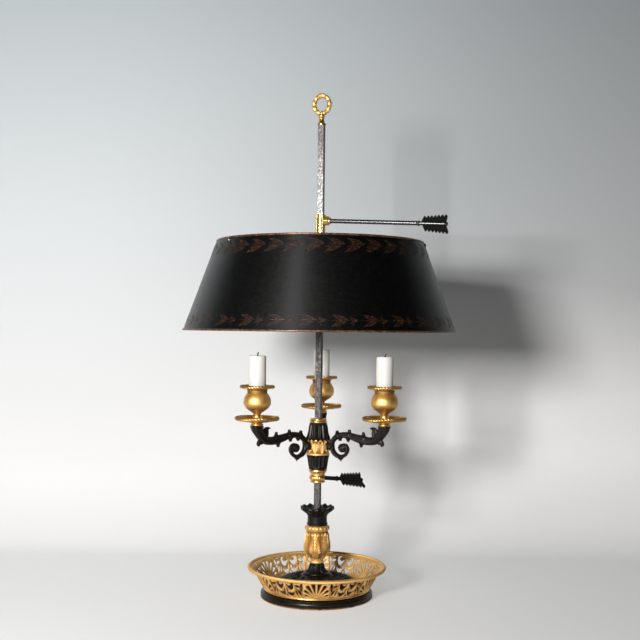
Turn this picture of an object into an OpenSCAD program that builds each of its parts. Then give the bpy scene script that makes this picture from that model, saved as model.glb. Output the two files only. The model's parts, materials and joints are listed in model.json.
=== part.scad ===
// Bouillotte table lamp: a tray base, a square iron rod, three candle branches and a
// tin shade. Branches and shade slide on the rod, each held by an arrow-shaped key.
// Millimetres, +Z up, origin at the centre of the base on the table.

/* [Base] */
// Radius of the plinth at the table
plinth_radius = 74.2; // [70:0.2:80]
// Height of the plinth
plinth_height = 10.5; // [9:0.5:14]
// Depth of the hollow under the plinth
plinth_recess = 5.5; // [5:0.25:6.5]
// Radius of the gallery where it stands on the plinth
gallery_foot_radius = 66.8; // [65:0.2:68]
// Radius of the gallery at the rope rim
gallery_rim_radius = 89.4; // [86:0.2:94]
// Height of the gallery from the plinth to the rope rim
gallery_height = 28.4; // [26:0.2:32]
// Thickness of the gallery wall
gallery_wall = 1.8; // [1.4:0.1:2.2]
// Diameter of the rope rim
rope_diameter = 4.8; // [4:0.2:5.2]
// Clear space between the leafed dome's edge and the foot of the gallery
dome_margin = 3.2; // [2.4:0.1:5]
// Height of the leafed dome above the plinth
dome_height = 19; // [17:0.5:22]
// Number of leaves on the dome
dome_leaves = 16; // [12:2:20]

/* [Stem] */
// Height of the black neck on the dome
foot_neck_height = 14.2; // [12:0.2:18]
// Radius of the ring at the foot of that neck
foot_ring_radius = 17.9; // [16:0.1:20]
// Height of the gilt baluster
baluster_height = 50.5; // [46:0.5:56]
// Largest radius of the gilt baluster
baluster_radius = 17.1; // [16:0.1:19]
// Number of leaves on the baluster
baluster_leaves = 6; // [5:1:8]
// Height of the crown that holds the rod
crown_height = 31.7; // [29:0.1:36]
// Radius of the crown over its lobes
crown_radius = 21.6; // [20:0.1:24]
// Radius of the crown's neck
crown_neck_radius = 13; // [12:0.1:13.4]
// Number of lobes on the crown
crown_lobes = 12; // [8:1:14]
// Side of the square rod
rod_width = 8; // [7:0.2:9]
// Height of the rod's upper end above the table
rod_top = 624.6; // [600:0.2:650]
// Turn of the rod, its sliders and keys about the upright axis
rod_turn = -17; // [-30:1:0]

/* [Finial] */
// Half of the wreath's outer width
wreath_half_width = 13.6; // [12:0.1:15]
// Half of the wreath's outer height
wreath_half_height = 15.9; // [14:0.1:17]
// Diameter of the wreath's leafed stock
wreath_stock = 6.8; // [6:0.1:7.4]
// Height of the turned socket under the wreath
finial_socket_height = 12.4; // [11:0.2:15]

/* [Shade] */
// Height of the shade's lower edge above the table
shade_level = 350.4; // [345:0.2:362]
// Height of the shade
shade_height = 119.2; // [112:0.2:124]
// Radius of the shade at the lower edge
shade_bottom_radius = 179.6; // [172:0.2:186]
// Radius of the shade at the upper edge
shade_top_radius = 136.2; // [130:0.2:142]
// Thickness of the shade's sheet
sheet = 0.8; // [0.6:0.1:1.2]
// Diameter of the rolled edges
bead_diameter = 2.6; // [2.2:0.1:3.2]
// Directions of the spider's three arms
spider_angles = [214, 350, 102];
// Width of a spider arm
spider_arm_width = 8; // [6:0.5:10]
// Thickness of a spider arm
spider_arm_thickness = 2.4; // [1.8:0.2:3]
// Outer side of the brass slider
slider_width = 11; // [10.4:0.1:12]
// Height of the brass slider above the shade
slider_rise = 36.8; // [34:0.2:42]

/* [Keys] */
// Diameter of the upper key's shaft
upper_key_diameter = 5.8; // [5:0.1:6.2]
// Distance from the rod's axis to the end of the upper key
upper_key_reach = 172.3; // [160:0.5:176]
// Fall of the upper key from the level
upper_key_droop = 2.5; // [0:0.25:4]
// Diameter of the lower key's shaft
lower_key_diameter = 5.4; // [5:0.1:5.8]
// Distance from the rod's axis to the end of the lower key
lower_key_reach = 66; // [62:0.5:72]
// Length of the arrow's vanes
vane_length = 37; // [32:0.5:40]
// Height of the upper key's vanes above its axis
vane_height = 11.6; // [10:0.1:12.4]
// Height of the lower key's vanes above its axis
lower_vane_height = 9.2; // [8:0.1:10.4]
// Sweep of the upper key's lower vane past the other
upper_vane_sweep = 2.1; // [1:0.1:4]
// Sweep of the lower key's lower vane past the other
lower_vane_sweep = 7; // [4:0.1:8]
// Thickness of the vanes
vane_thickness = 2.2; // [1.6:0.1:3]

/* [Branches] */
// Height of the hub's lower end above the table
hub_level = 150.4; // [148:0.2:158]
// Distance from the rod's axis to the candles
candle_circle_radius = 94.5; // [90:0.5:100]
// Height of the gilt collar that takes the lower key
bottom_collar_height = 18.3; // [17:0.1:20]
// Height of the lower fluted bell
lower_bell_height = 18.6; // [17:0.1:20]
// Height of the gilt band
band_height = 21.4; // [20:0.1:23]
// Height of the upper fluted bell
upper_bell_height = 21; // [19:0.1:23]
// Height of the gilt top collar
top_collar_height = 5.6; // [5:0.1:7]
// Largest radius of the hub
hub_radius = 16.4; // [15.6:0.1:18]
// Number of flutes on each bell
flute_count = 16; // [12:1:18]
// Height of an arm's cup above the hub's lower end
arm_rise = 79.3; // [76:0.1:82]
// Half of an arm's thickness across its plane
arm_half_thickness = 3.4; // [2.8:0.1:4]
// Rise of the back candle over the front ones
back_rise = 6.2; // [0:0.2:6.6]

/* [Candles] */
// Diameter of a candle
candle_diameter = 22; // [20:0.2:23]
// Length of a candle
candle_length = 66; // [50:0.5:70]
// Radius of a drip pan
pan_radius = 28.5; // [26:0.1:31]
// Radius of a nozzle's ball
nozzle_radius = 17.6; // [16.6:0.1:19]
// Height of a nozzle
nozzle_height = 38.8; // [37:0.1:42]
// Radius of a bobeche
bobeche_radius = 22.3; // [21:0.1:24]

/* [Hidden] */

GILT = [0.83, 0.61, 0.24];
BRONZE = [0.10, 0.09, 0.085];
IRON = [0.30, 0.27, 0.27];
TOLE = [0.06, 0.055, 0.05];
EDGE = [0.33, 0.22, 0.12];
WAX = [0.95, 0.93, 0.90];
SOOT = [0.12, 0.10, 0.09];

slide_gap = 0.1;   // flat face to flat face, sliding
turn_gap = 0.05;   // radial, a shaft or pin in its bore
tip_gap = 0.3;     // key's tip to the rod when slack
seat_gap = 0.05;   // loose part resting on its seat

left_angle = 214;
right_angle = 334;
back_angle = 87.6;

palmette_count = 6;  // round the gallery, with a pair of scrolls between each two

// Base stack, from the table up
flange_height = 1.5;
dome_radius = gallery_foot_radius - dome_margin;
dome_seat = plinth_height + flange_height;
dome_top = plinth_height + dome_height;
neck_top = dome_top + foot_neck_height;
baluster_top = neck_top + baluster_height;
crown_seat = baluster_top - 2.9;
crown_top = crown_seat + crown_height;
rope_level = plinth_height + gallery_height;
tail_radius = 3;
tail_bore = tail_radius + turn_gap;
rod_shoulder = crown_seat + 4;
nut_height = 3;
washer_height = 1;
washer_radius = 9;
finial_stud_radius = 2;
finial_stud_height = 7.4;
socket_top = rod_top + finial_socket_height;

// Shade stack
shade_top = shade_level + shade_height;
shade_slope = (shade_bottom_radius - shade_top_radius) / shade_height;
shade_lean = atan(shade_slope);
slider_bore = rod_width / 2 + slide_gap;
rivet_radius = 1.4;
rivet_level = shade_top - 4.8;
foot_above = 2.1;
foot_below = 9;
foot_thickness = 1.4;
foot_gap = 0.3;
spider_level = rivet_level - foot_below;
slider_flange = 2.4;
slider_top = shade_top + slider_rise;
slider_bottom = spider_level - slider_flange;
key_boss_radius = 6.2;
key_boss_length = 5.6;
key_lip_radius = 4.4;
key_lip_length = 2.8;
upper_key_level = slider_top - 8.6;
lower_key_level = hub_level + 6.6;

// Hub stack
lower_bell_level = hub_level + bottom_collar_height;
band_level = lower_bell_level + lower_bell_height;
upper_bell_level = band_level + band_height;
top_collar_level = upper_bell_level + upper_bell_height;
hub_top = top_collar_level + top_collar_height;
sleeve_radius = 7;
sleeve_bore = sleeve_radius + turn_gap;
arm_root_radius = 14.4;
arm_root_level = band_level + 12.4;
arm_tenon_radius = 2.2;
cup_level = hub_level + arm_rise;
cup_radius = 8.1;

// Candle stack
stud_radius = 2;
stud_bore = stud_radius + turn_gap;
pan_collar_height = 3.8;
pan_level = cup_level + pan_collar_height;
pan_hub_height = 3.8;
nozzle_level = pan_level + pan_hub_height;
nozzle_top = nozzle_level + nozzle_height;
candle_radius = candle_diameter / 2;
candle_level = nozzle_level + 16;
cup_wall = 0.95;
bobeche_bore = candle_radius + slide_gap;
bobeche_tube = bobeche_bore + cup_wall;
nozzle_bore = bobeche_tube + slide_gap;
candle_top = candle_level + candle_length;

// ---- Shapes shared by the pieces ----

function cubic(a, b, c, d, t) =
    0.5 * (2 * b + (c - a) * t + (2 * a - 5 * b + 4 * c - d) * t * t
    + (3 * b - a - 3 * c + d) * t * t * t);

// A smooth curve through the points p, with n steps between neighbours.
function curve(p, n = 4) = let (last = len(p) - 1)
    [for (i = [0:last - 1]) for (k = [0:n - 1])
        cubic(p[max(i - 1, 0)], p[i], p[i + 1], p[min(i + 2, last)], k / n), p[last]];

// Part of a circle, from angle a to angle b.
function arc(centre, r, a, b, n = 8) =
    [for (i = [0:n]) let (t = a + (b - a) * i / n) centre + r * [cos(t), sin(t)]];

// Places an outline of shares of a radius and a height.
function placed(shares, r, z, h) = [for (s = shares) [s[0] * r, z + s[1] * h]];

// A turned piece: its outer profile from the bottom up, round a bore.
module turned(profile, bore = 0) {
    last = len(profile) - 1;
    rotate_extrude($fn = 96)
        polygon(concat([[bore, profile[0][1]]], profile, [[bore, profile[last][1]]]));
}

// A pointed leaf between p and q: w wide, bowed sideways, fuller towards q.
function leaf(p, q, w, bow = 0, n = 4) =
    let (d = q - p, v = [-d[1], d[0]] / norm(d))
    concat(
        [for (i = [0:n]) let (t = i / n)
            p + d * t + v * (4 * bow * t * (1 - t) + w / 2 * sin(180 * pow(t, 1.4)))],
        [for (i = [n - 1:-1:1]) let (t = i / n)
            p + d * t + v * (4 * bow * t * (1 - t) - w / 2 * sin(180 * pow(t, 1.4)))]);

// A smooth closed outline through the points p, with n steps between neighbours.
function closed_curve(p, n = 2) = let (count = len(p))
    [for (i = [0:count - 1]) for (k = [0:n - 1])
        cubic(p[(i + count - 1) % count], p[i], p[(i + 1) % count], p[(i + 2) % count], k / n)];

function mirrored(p) = [for (i = [len(p) - 1:-1:0]) [-p[i][0], p[i][1]]];

// Upright grooves that follow a profile, as between carved leaves.
module grooves(profile, count, depth, width) {
    last = len(profile) - 1;
    above = 4;
    end_gap = 0.35;
    sunk = [for (i = [0:last]) profile[i] + [-depth, i == 0 ? end_gap : i == last ? -end_gap : 0]];
    raised = [for (i = [last:-1:0]) sunk[i] + [depth + above, 0]];
    for (i = [0:count - 1])
        rotate([0, 0, (i + 0.5) * 360 / count])
            rotate([90, 0, 0])
                linear_extrude(height = width, center = true)
                    polygon(concat(sunk, raised));
}

// A tube through the rows [x, z, half width, half thickness] in the plane y = 0.
module swept(rows, sides = 8) {
    last = len(rows) - 1;
    points = [for (i = [0:last])
        let (a = rows[max(i - 1, 0)], b = rows[min(i + 1, last)], p = rows[i],
             d = [b[0] - a[0], b[1] - a[1]], n = [-d[1], d[0]] / norm(d))
        for (k = [0:sides - 1])
            let (t = 360 * k / sides)
            [p[0] + n[0] * p[2] * cos(t), p[3] * sin(t), p[1] + n[1] * p[2] * cos(t)]];
    walls = [for (i = [0:last - 1]) for (k = [0:sides - 1])
        let (m = (k + 1) % sides, a = i * sides, b = a + sides)
        each [[a + k, b + m, b + k], [a + k, a + m, b + m]]];
    first_cap = [for (k = [sides - 1:-1:0]) k];
    last_cap = [for (k = [0:sides - 1]) last * sides + k];
    polyhedron(points = points, faces = concat(walls, [first_cap, last_cap]), convexity = 8);
}

// ---- Base ----

module plinth() {
    recess_radius = plinth_radius - 13;
    shoulder = plinth_radius - 5;
    color(BRONZE) difference() {
        turned(concat(
            [[plinth_radius - 0.8, 0], [plinth_radius, 0.8], [plinth_radius, 1.8],
             [plinth_radius - 1, 2.4], [plinth_radius - 0.8, 3.4]],
            arc([shoulder, plinth_height - 5.6], 4.9, -12, 80, 6),
            [[shoulder - 0.4, plinth_height]]), tail_bore);
        translate([0, 0, -1]) cylinder(r = recess_radius, h = plinth_recess + 1, $fn = 96);
    }
}

gallery_line = curve([
    [gallery_foot_radius, dome_seat],
    [gallery_foot_radius + 5.6, plinth_height + 7],
    [gallery_foot_radius + 9.8, plinth_height + 14],
    [gallery_rim_radius - 9, rope_level - 6.8],
    [gallery_rim_radius - 6.4, rope_level - 2.6],
    [gallery_rim_radius - 0.8, rope_level - 0.4]], 2);
gallery_lean = atan2(rope_level - dome_seat, gallery_rim_radius - gallery_foot_radius);
pattern_radius = (gallery_foot_radius + gallery_rim_radius) / 2 + 0.6;
pattern_level = (rope_level + dome_seat) / 2 - 0.6;
pattern_height = norm([rope_level - dome_seat, gallery_rim_radius - gallery_foot_radius]);

// The piercings, u along the wall and v up its slope, drawn flat for a slope of 35 and for
// 42 from a palmette's middle to the line between a pair of scrolls.
pattern_slope = 35;
pattern_half_width = 42;
pattern_width = 180 / palmette_count * PI / 180 * pattern_radius;
fan_centre = [0, 4.2];
fan_inner = 9.5;

// A slot between two ribs of a palmette, at angle t, out to r, with a round end.
function fan_slot(t, r, w) =
    let (along = [sin(t), cos(t)], across = [cos(t), -sin(t)], end = fan_centre + along * (r - 0.4 * w))
    concat(
        [fan_centre + along * fan_inner + across * 0.4],
        [for (a = [0:45:180]) end + across * (w / 2 * cos(a)) + along * (0.4 * w * sin(a))],
        [fan_centre + along * fan_inner - across * 0.4]);

palmette_holes = [
    fan_slot(10, 25, 4.8), fan_slot(30, 24, 4.8), fan_slot(50, 20.6, 4.4), fan_slot(70, 17, 3.6),
    leaf([20.2, 10.8], [18, 28.8], 4.2, -1), leaf([20, 19.4], [28.2, 24.4], 4.4, 0.5),
    leaf([20.2, 29.6], [27.4, 28.4], 2.4, -0.4), leaf([27.2, 20], [19.8, 7.2], 3.6, -0.8),
    leaf([27.2, 19.4], [25, 7.2], 2.6, 0.5), leaf([21.2, 5], [26, 5.4], 2)];

// The openings round a scroll's curl and under its leaf, from the line between a pair.
scroll_holes = [
    closed_curve([[12, 25.6], [11, 28.8], [8.4, 29.8], [6, 28.8], [5, 26.8], [7, 27.6], [8.7, 26.2],
        [7.8, 23.8], [5.2, 23], [2.8, 24.8], [1.4, 24.2], [3.6, 19.2], [6.6, 16.4], [9.4, 17],
        [11.7, 20.4]]),
    closed_curve([[12.2, 14.6], [11.4, 10], [8.4, 6.2], [4.2, 6.4], [1.7, 10.4], [1, 17.6],
        [2.2, 18.2], [3.6, 12.8], [4.6, 12], [5.7, 13.8], [7, 11.4], [8.3, 13.2], [9.6, 11.6],
        [10.8, 13.8]]),
    leaf([1.5, 29.6], [4.4, 28.6], 1.8)];

// Cuts an opening square to the wall, at its own place round the axis.
module pierce(outline) {
    deep = 8;
    across = [for (p = outline) p[0]];
    middle = (min(across) + max(across)) / 2;
    fitted = [for (p = outline) [
        (p[0] - middle) * pattern_width / pattern_half_width,
        (p[1] / pattern_slope - 0.5) * pattern_height]];
    rotate([0, 0, middle / pattern_half_width * 180 / palmette_count])
        translate([pattern_radius, 0, pattern_level])
            rotate([180 - gallery_lean, 0, 90])
                translate([0, 0, -deep])
                    linear_extrude(height = 2 * deep) polygon(fitted);
}

module gallery() {
    half = gallery_wall / 2;
    last = len(gallery_line) - 1;
    outer = [for (p = gallery_line) p + half * [sin(gallery_lean), -cos(gallery_lean)]];
    inner = [for (i = [last:-1:0])
        gallery_line[i] - half * [sin(gallery_lean), -cos(gallery_lean)]];
    flange = [
        [dome_radius - 3.5, dome_seat], [dome_radius - 3.5, plinth_height],
        [gallery_foot_radius + 1, plinth_height]];
    color(GILT) difference() {
        rotate_extrude($fn = 96)
            polygon(concat(flange, outer, inner, [[gallery_foot_radius - 2, dome_seat]]));
        rotate_extrude($fn = 96)
            translate([gallery_rim_radius, rope_level]) circle(d = rope_diameter, $fn = 32);
        for (i = [0:palmette_count - 1])
            rotate([0, 0, 270 + i * 360 / palmette_count]) {
                for (h = palmette_holes) { pierce(h); pierce(mirrored(h)); }
                rotate([0, 0, 180 / palmette_count]) {
                    for (h = scroll_holes) { pierce(h); pierce(mirrored(h)); }
                    pierce(leaf([0, 10.8], [0, 4.4], 3.4));
                }
            }
    }
}

module gallery_rope_rim() {
    color(GILT) rotate_extrude($fn = 96)
        translate([gallery_rim_radius, rope_level]) circle(d = rope_diameter, $fn = 32);
}

module base_dome() {
    leafed = curve(concat(
        [[dome_radius, dome_seat], [dome_radius + 0.2, dome_seat + 1.4]],
        placed([[0.97, 0.2], [0.9, 0.34], [0.79, 0.53], [0.64, 0.75], [0.46, 0.9], [0.3, 1]],
            dome_radius, plinth_height, dome_height)), 2);
    color(BRONZE) difference() {
        union() {
            turned(leafed, tail_bore);
            cylinder_between(dome_radius - 3.6, plinth_height, dome_seat + 0.5);
        }
        cylinder_between(tail_bore, 0, dome_top + 1);
        grooves([for (p = leafed) if (p[1] > dome_seat + 2.5 && p[1] < dome_top - 0.3) p],
            dome_leaves, 1.2, 1.6);
    }
}

module cylinder_between(r, low, high) {
    translate([0, 0, low]) cylinder(r = r, h = high - low, $fn = 64);
}

module foot_neck() {
    color(BRONZE) turned(concat(
        arc([foot_ring_radius - 1.3, dome_top + 1.3], 1.3, -80, 80, 6),
        curve(placed([[0.84, 0.2], [0.66, 0.42], [0.55, 0.7], [0.52, 1]],
            foot_ring_radius, dome_top, foot_neck_height), 3)), tail_bore);
}

module baluster() {
    bulb = curve(placed([[0.54, 0.14], [0.78, 0.22], [0.97, 0.34], [1, 0.44], [0.96, 0.57],
        [0.88, 0.7], [0.84, 0.82]], baluster_radius, neck_top, baluster_height), 2);
    bead = baluster_radius - 3.2;
    color(GILT) difference() {
        turned(concat(
            arc([7.4, neck_top + 2], 2, -80, 80, 5),
            [[8.2, neck_top + 4.6]],
            bulb,
            arc([bead, baluster_top - 3.4], 2.8, -60, 80, 6),
            [[bead, baluster_top]]), tail_bore);
        cylinder_between(crown_neck_radius + seat_gap, crown_seat, baluster_top + 1);
        grooves(bulb, baluster_leaves, 0.9, 1.3);
    }
}

module crown() {
    rim = crown_top - 5.2;
    lobe = 2.2;
    lobe_circle = crown_radius - lobe;
    flare = curve([
        [crown_neck_radius, crown_top - 17.4], [crown_neck_radius + 0.4, crown_top - 15.8],
        [crown_neck_radius + 2.6, crown_top - 12.4], [crown_neck_radius + 5.6, crown_top - 9.8],
        [crown_radius - 0.5, crown_top - 7], [crown_radius, rim]], 2);
    notch = 180 * lobe_circle / crown_lobes / 57.3 * 0.42;
    color(BRONZE) difference() {
        union() {
            difference() {
                turned(concat(
                    [[crown_neck_radius, crown_seat], [crown_neck_radius, crown_seat + 3.2],
                     [crown_neck_radius + 0.9, crown_seat + 4.2],
                     [crown_neck_radius + 0.9, crown_seat + 5.6],
                     [crown_neck_radius, crown_seat + 6.6]],
                    flare,
                    [[crown_radius - 0.4, crown_top - 3.2]]));
                translate([0, 0, crown_top - 9.4])
                    cylinder(r1 = crown_neck_radius - 2, r2 = crown_radius - 2.4, h = 7);
                for (i = [0:crown_lobes - 1])
                    rotate([0, 0, (i + 0.5) * 360 / crown_lobes])
                        translate([crown_neck_radius + 3, 0, crown_top - 3])
                            rotate([0, 90, 0]) cylinder(r = notch, h = 12, $fn = 24);
            }
            for (i = [0:crown_lobes - 1])
                rotate([0, 0, i * 360 / crown_lobes])
                    translate([lobe_circle, 0, crown_top - lobe]) sphere(r = lobe, $fn = 24);
        }
        cylinder_between(tail_bore, crown_seat - 1, crown_top);
        rotate([0, 0, rod_turn])
            translate([0, 0, rod_shoulder + crown_height / 2])
                cube([rod_width + 2 * turn_gap, rod_width + 2 * turn_gap, crown_height],
                    center = true);
    }
}

module rod() {
    color(IRON) {
        rotate([0, 0, rod_turn])
            translate([-rod_width / 2, -rod_width / 2, rod_shoulder])
                cube([rod_width, rod_width, rod_top - rod_shoulder]);
        cylinder_between(tail_radius, 1, rod_shoulder);
        cylinder_between(finial_stud_radius, rod_top, rod_top + finial_stud_height);
    }
}

module base_washer() {
    color(IRON) difference() {
        cylinder_between(washer_radius, plinth_recess - washer_height, plinth_recess);
        cylinder_between(tail_bore, 0, plinth_recess + 1);
    }
}

module base_nut() {
    top = plinth_recess - washer_height;
    color(IRON) difference() {
        translate([0, 0, top - nut_height]) cylinder(r = 6.2, h = nut_height, $fn = 6);
        cylinder_between(tail_bore, 0, plinth_recess + 1);
    }
}

module finial_socket() {
    color(GILT) difference() {
        turned(concat(
            [[5.6, rod_top], [5.6, rod_top + 1.8], [5.1, rod_top + 2.8]],
            curve([[4.6, rod_top + 3], [3.4, rod_top + 5.4], [3.2, rod_top + 8.6],
                [3.9, rod_top + 10.8], [4.2, socket_top]], 3)));
        cylinder_between(finial_stud_radius + turn_gap, rod_top - 1,
            rod_top + finial_stud_height + 0.4);
    }
}

// A laurel ring of overlapping leaves that rise on both sides from the knot to the top.
module finial_wreath() {
    half_stock = wreath_stock / 2;
    wide = wreath_half_width - half_stock;
    tall = wreath_half_height - half_stock;
    centre = socket_top + wreath_half_height - 1;
    bunches = 9;
    steps = 8 * bunches;
    sides = 8;
    points = [for (i = [0:steps - 1]) let (
            a = 360 * i / steps - 90,
            rise = abs(a > 90 ? 270 - a : a + 90) / 180 * bunches + 0.01,
            flare = rise - floor(rise),
            r = half_stock * (0.74 + 0.26 * flare))
        for (k = [0:sides - 1]) let (
            t = 360 * k / sides, out = r * (1 + 0.08 * cos(2 * t)) * cos(t))
        [(wide + out) * cos(a), r * sin(t), centre + (tall + out) * sin(a)]];
    faces = [for (i = [0:steps - 1]) for (k = [0:sides - 1])
        let (m = (k + 1) % sides, a = i * sides, b = ((i + 1) % steps) * sides)
        each [[a + k, b + k, b + m], [a + k, b + m, a + m]]];
    color(GILT) rotate([0, 0, rod_turn]) difference() {
        union() {
            polyhedron(points = points, faces = faces, convexity = 6);
            translate([0, 0, centre - tall]) sphere(r = half_stock + 0.5, $fn = 24);
            translate([0, 0, socket_top]) cylinder(r = 3.6, h = 2.4, $fn = 32);
        }
        translate([-10, -10, socket_top - 20]) cube([20, 20, 20]);
    }
}

// ---- Shade and upper key ----

// The distance of the sheet's middle from the axis at a height.
function shade_radius(z) = shade_top_radius + (shade_top - z) * shade_slope;

module bead_ring(r, z) {
    rotate_extrude($fn = 128) translate([r, z]) circle(d = bead_diameter, $fn = 24);
}

bead_half = bead_diameter / 2;
module shade_bottom_bead() { color(EDGE) bead_ring(shade_bottom_radius, shade_level + bead_half); }
module shade_top_bead() { color(EDGE) bead_ring(shade_top_radius, shade_top - bead_half); }

module shade_shell() {
    low = shade_level + bead_diameter;
    high = shade_top - bead_diameter;
    across = sheet / cos(shade_lean) / 2;
    color(TOLE) difference() {
        rotate_extrude($fn = 128) polygon([
            [shade_radius(low) - across, low], [shade_radius(low) + across, low],
            [shade_radius(high) + across, high], [shade_radius(high) - across, high]]);
        for (a = spider_angles) at_rivet(a)
            translate([0, 0, -6]) cylinder(r = rivet_radius + turn_gap, h = 12, $fn = 24);
    }
}

arm_end = shade_radius(spider_level) - sheet / 2 - foot_gap - foot_thickness / 2;

// Places its children on a rivet's line, +Z outwards through the sheet.
module at_rivet(a) {
    rotate([0, 0, a])
        translate([shade_radius(rivet_level), 0, rivet_level])
            rotate([0, 90 - shade_lean, 0]) children();
}

module shade_rivets() {
    inside = sheet / 2 + foot_thickness + foot_gap;
    color(BRONZE) for (a = spider_angles) at_rivet(a) {
        translate([0, 0, -inside]) cylinder(r = rivet_radius, h = inside + sheet / 2, $fn = 24);
        translate([0, 0, sheet / 2]) cylinder(r1 = 2.8, r2 = 1.6, h = 1.6, $fn = 24);
        translate([0, 0, -inside - 1]) cylinder(r1 = 1.6, r2 = 2.4, h = 1, $fn = 24);
    }
}

module shade_spider() {
    hub = 14;
    inset = sheet / 2 + foot_gap;
    color(BRONZE) difference() {
        union() {
            translate([0, 0, spider_level]) cylinder(r = hub, h = spider_arm_thickness, $fn = 48);
            for (a = spider_angles) {
                rotate([0, 0, a])
                    translate([0, -spider_arm_width / 2, spider_level])
                        cube([arm_end, spider_arm_width, spider_arm_thickness]);
                at_rivet(a)
                    translate([-foot_above, -spider_arm_width / 2, -inset - foot_thickness])
                        cube([foot_above + foot_below, spider_arm_width, foot_thickness]);
            }
        }
        rotate([0, 0, rod_turn])
            cube([slider_width + 0.1, slider_width + 0.1, 3 * shade_top], center = true);
        for (a = spider_angles) at_rivet(a)
            translate([0, 0, -6]) cylinder(r = rivet_radius + turn_gap, h = 12, $fn = 24);
    }
}

// Places its children on the upper key's axis, +Z along the key from the rod's axis.
module on_upper_key() {
    rotate([0, 0, rod_turn])
        translate([0, 0, upper_key_level])
            rotate([0, 90 + upper_key_droop, 0]) children();
}

module on_lower_key() {
    rotate([0, 0, rod_turn])
        translate([0, 0, lower_key_level]) rotate([0, 90, 0]) children();
}

module shade_slider() {
    half = slider_width / 2;
    cap = half + 0.4;
    chamfer = 1.4;
    outline = function (w) [
        [w - chamfer, -w], [w, chamfer - w], [w, w - chamfer], [w - chamfer, w],
        [chamfer - w, w], [-w, w - chamfer], [-w, chamfer - w], [chamfer - w, -w]];
    color(GILT) difference() {
        union() {
            rotate([0, 0, rod_turn]) {
                translate([0, 0, slider_bottom])
                    linear_extrude(height = slider_top - slider_bottom)
                        polygon(outline(half));
                translate([0, 0, slider_top - 5.6])
                    linear_extrude(height = 4.8) polygon(outline(cap));
                translate([0, 0, slider_bottom])
                    cylinder(r = half + 3.5, h = spider_level - slider_bottom, $fn = 48);
            }
            on_upper_key() {
                translate([0, 0, slider_bore + 0.6])
                    cylinder(r = key_boss_radius, h = half - slider_bore - 0.6 + key_boss_length);
                cylinder(r = key_lip_radius, h = half + key_boss_length + key_lip_length);
            }
        }
        rotate([0, 0, rod_turn])
            cube([2 * slider_bore, 2 * slider_bore, 3 * shade_top], center = true);
        on_upper_key() cylinder(r = upper_key_diameter / 2 + turn_gap, h = 40, $fn = 48);
    }
}

module key_shaft(d, reach) {
    tip = rod_width / 2 + tip_gap;
    ring = reach - vane_length - 1.2;
    translate([0, 0, tip]) cylinder(d = d, h = ring - tip, $fn = 32);
    translate([0, 0, ring - 1.2])
        rotate_extrude($fn = 48) translate([d / 2 - 0.1, 0]) circle(r = 0.9, $fn = 24);
}

// The arrow's flights: two vanes with lobed edges on a round core. The lower one is
// swept back past the other and past the nock.
module key_arrow(d, reach, height, sweep) {
    start = reach - vane_length;
    nock = reach - 0.9 - sweep / 2;
    root = nock - 2.4;
    lobes = 7;
    edge = function (side, low, high, first, end) [
        for (i = [0:lobes - 1]) for (k = [0:3])
            let (t = (i + k / 4) / lobes)
            [side * (low + (high - low) * t + 0.9 * sin(45 * k)), first + (end - first) * t]];
    upper = concat([[0, start], [-0.56 * height, start + 0.6]],
        edge(-1, 0.68 * height, 0.95 * height, start + 2.4, reach - sweep - 0.3),
        [[-0.95 * height, reach - sweep], [-0.5 * height, root + 0.6], [0, root]]);
    lower = concat([[0, start + 1], [0.6 * height, start + 2.6]],
        edge(1, 0.75 * height, 1.02 * height, start + 4.4, reach - 0.3),
        [[1.02 * height, reach], [0.6 * height, root + 2.4], [0, root]]);
    translate([0, 0, start - 1.2]) cylinder(d = d - 0.6, h = nock + 1.2 - start);
    for (outline = [upper, lower])
        rotate([90, 0, 0])
            linear_extrude(height = vane_thickness, center = true) polygon(outline);
}

module upper_key_shaft() { color(BRONZE) on_upper_key() key_shaft(upper_key_diameter, upper_key_reach); }
module upper_key_arrow() { color(BRONZE) on_upper_key() key_arrow(upper_key_diameter, upper_key_reach,
    vane_height, upper_vane_sweep); }
module lower_key_shaft() { color(BRONZE) on_lower_key() key_shaft(lower_key_diameter, lower_key_reach); }
module lower_key_arrow() { color(BRONZE) on_lower_key() key_arrow(lower_key_diameter, lower_key_reach,
    lower_vane_height, lower_vane_sweep); }

// ---- Hub and arms ----

module lower_key_hole() {
    on_lower_key() cylinder(r = lower_key_diameter / 2 + turn_gap, h = 40, $fn = 48);
}

module hub_sleeve() {
    color(GILT) difference() {
        cylinder_between(sleeve_radius, hub_level, hub_top);
        rotate([0, 0, rod_turn])
            cube([2 * slider_bore, 2 * slider_bore, 3 * hub_top], center = true);
        lower_key_hole();
    }
}

module hub_bottom_collar() {
    shares = [[0.62, 0], [0.68, 0.06], [0.84, 0.26], [0.86, 0.38], [0.8, 0.5], [0.75, 0.6],
        [0.8, 0.7], [0.92, 0.8], [0.92, 0.94], [0.86, 1]];
    color(GILT) difference() {
        turned(curve(placed(shares, hub_radius - 3.4, hub_level, bottom_collar_height), 2),
            sleeve_bore);
        lower_key_hole();
    }
}

// Round flutes cut along a bell from its narrow to its wide end.
module flutes(r_low, r_high, low, high, bite) {
    lean = atan2(r_high - r_low, high - low);
    for (i = [0:flute_count - 1])
        rotate([0, 0, i * 360 / flute_count])
            translate([r_low + bite * 0.4, 0, low]) rotate([0, lean, 0])
                cylinder(r = bite, h = (high - low) / cos(lean), $fn = 24);
}

module hub_lower_bell() {
    narrow = hub_radius - 4.4;
    wide = narrow + 2.2;
    color(BRONZE) difference() {
        turned(curve([[narrow, lower_bell_level], [narrow + 0.4, lower_bell_level + 3],
            [narrow + 1.2, lower_bell_level + 8.5], [wide - 0.3, lower_bell_level + 14],
            [wide, band_level]], 2), sleeve_bore);
        flutes(narrow + 0.4, wide + 0.3, lower_bell_level + 1.6, band_level - 2.4, 0.95);
    }
}

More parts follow.
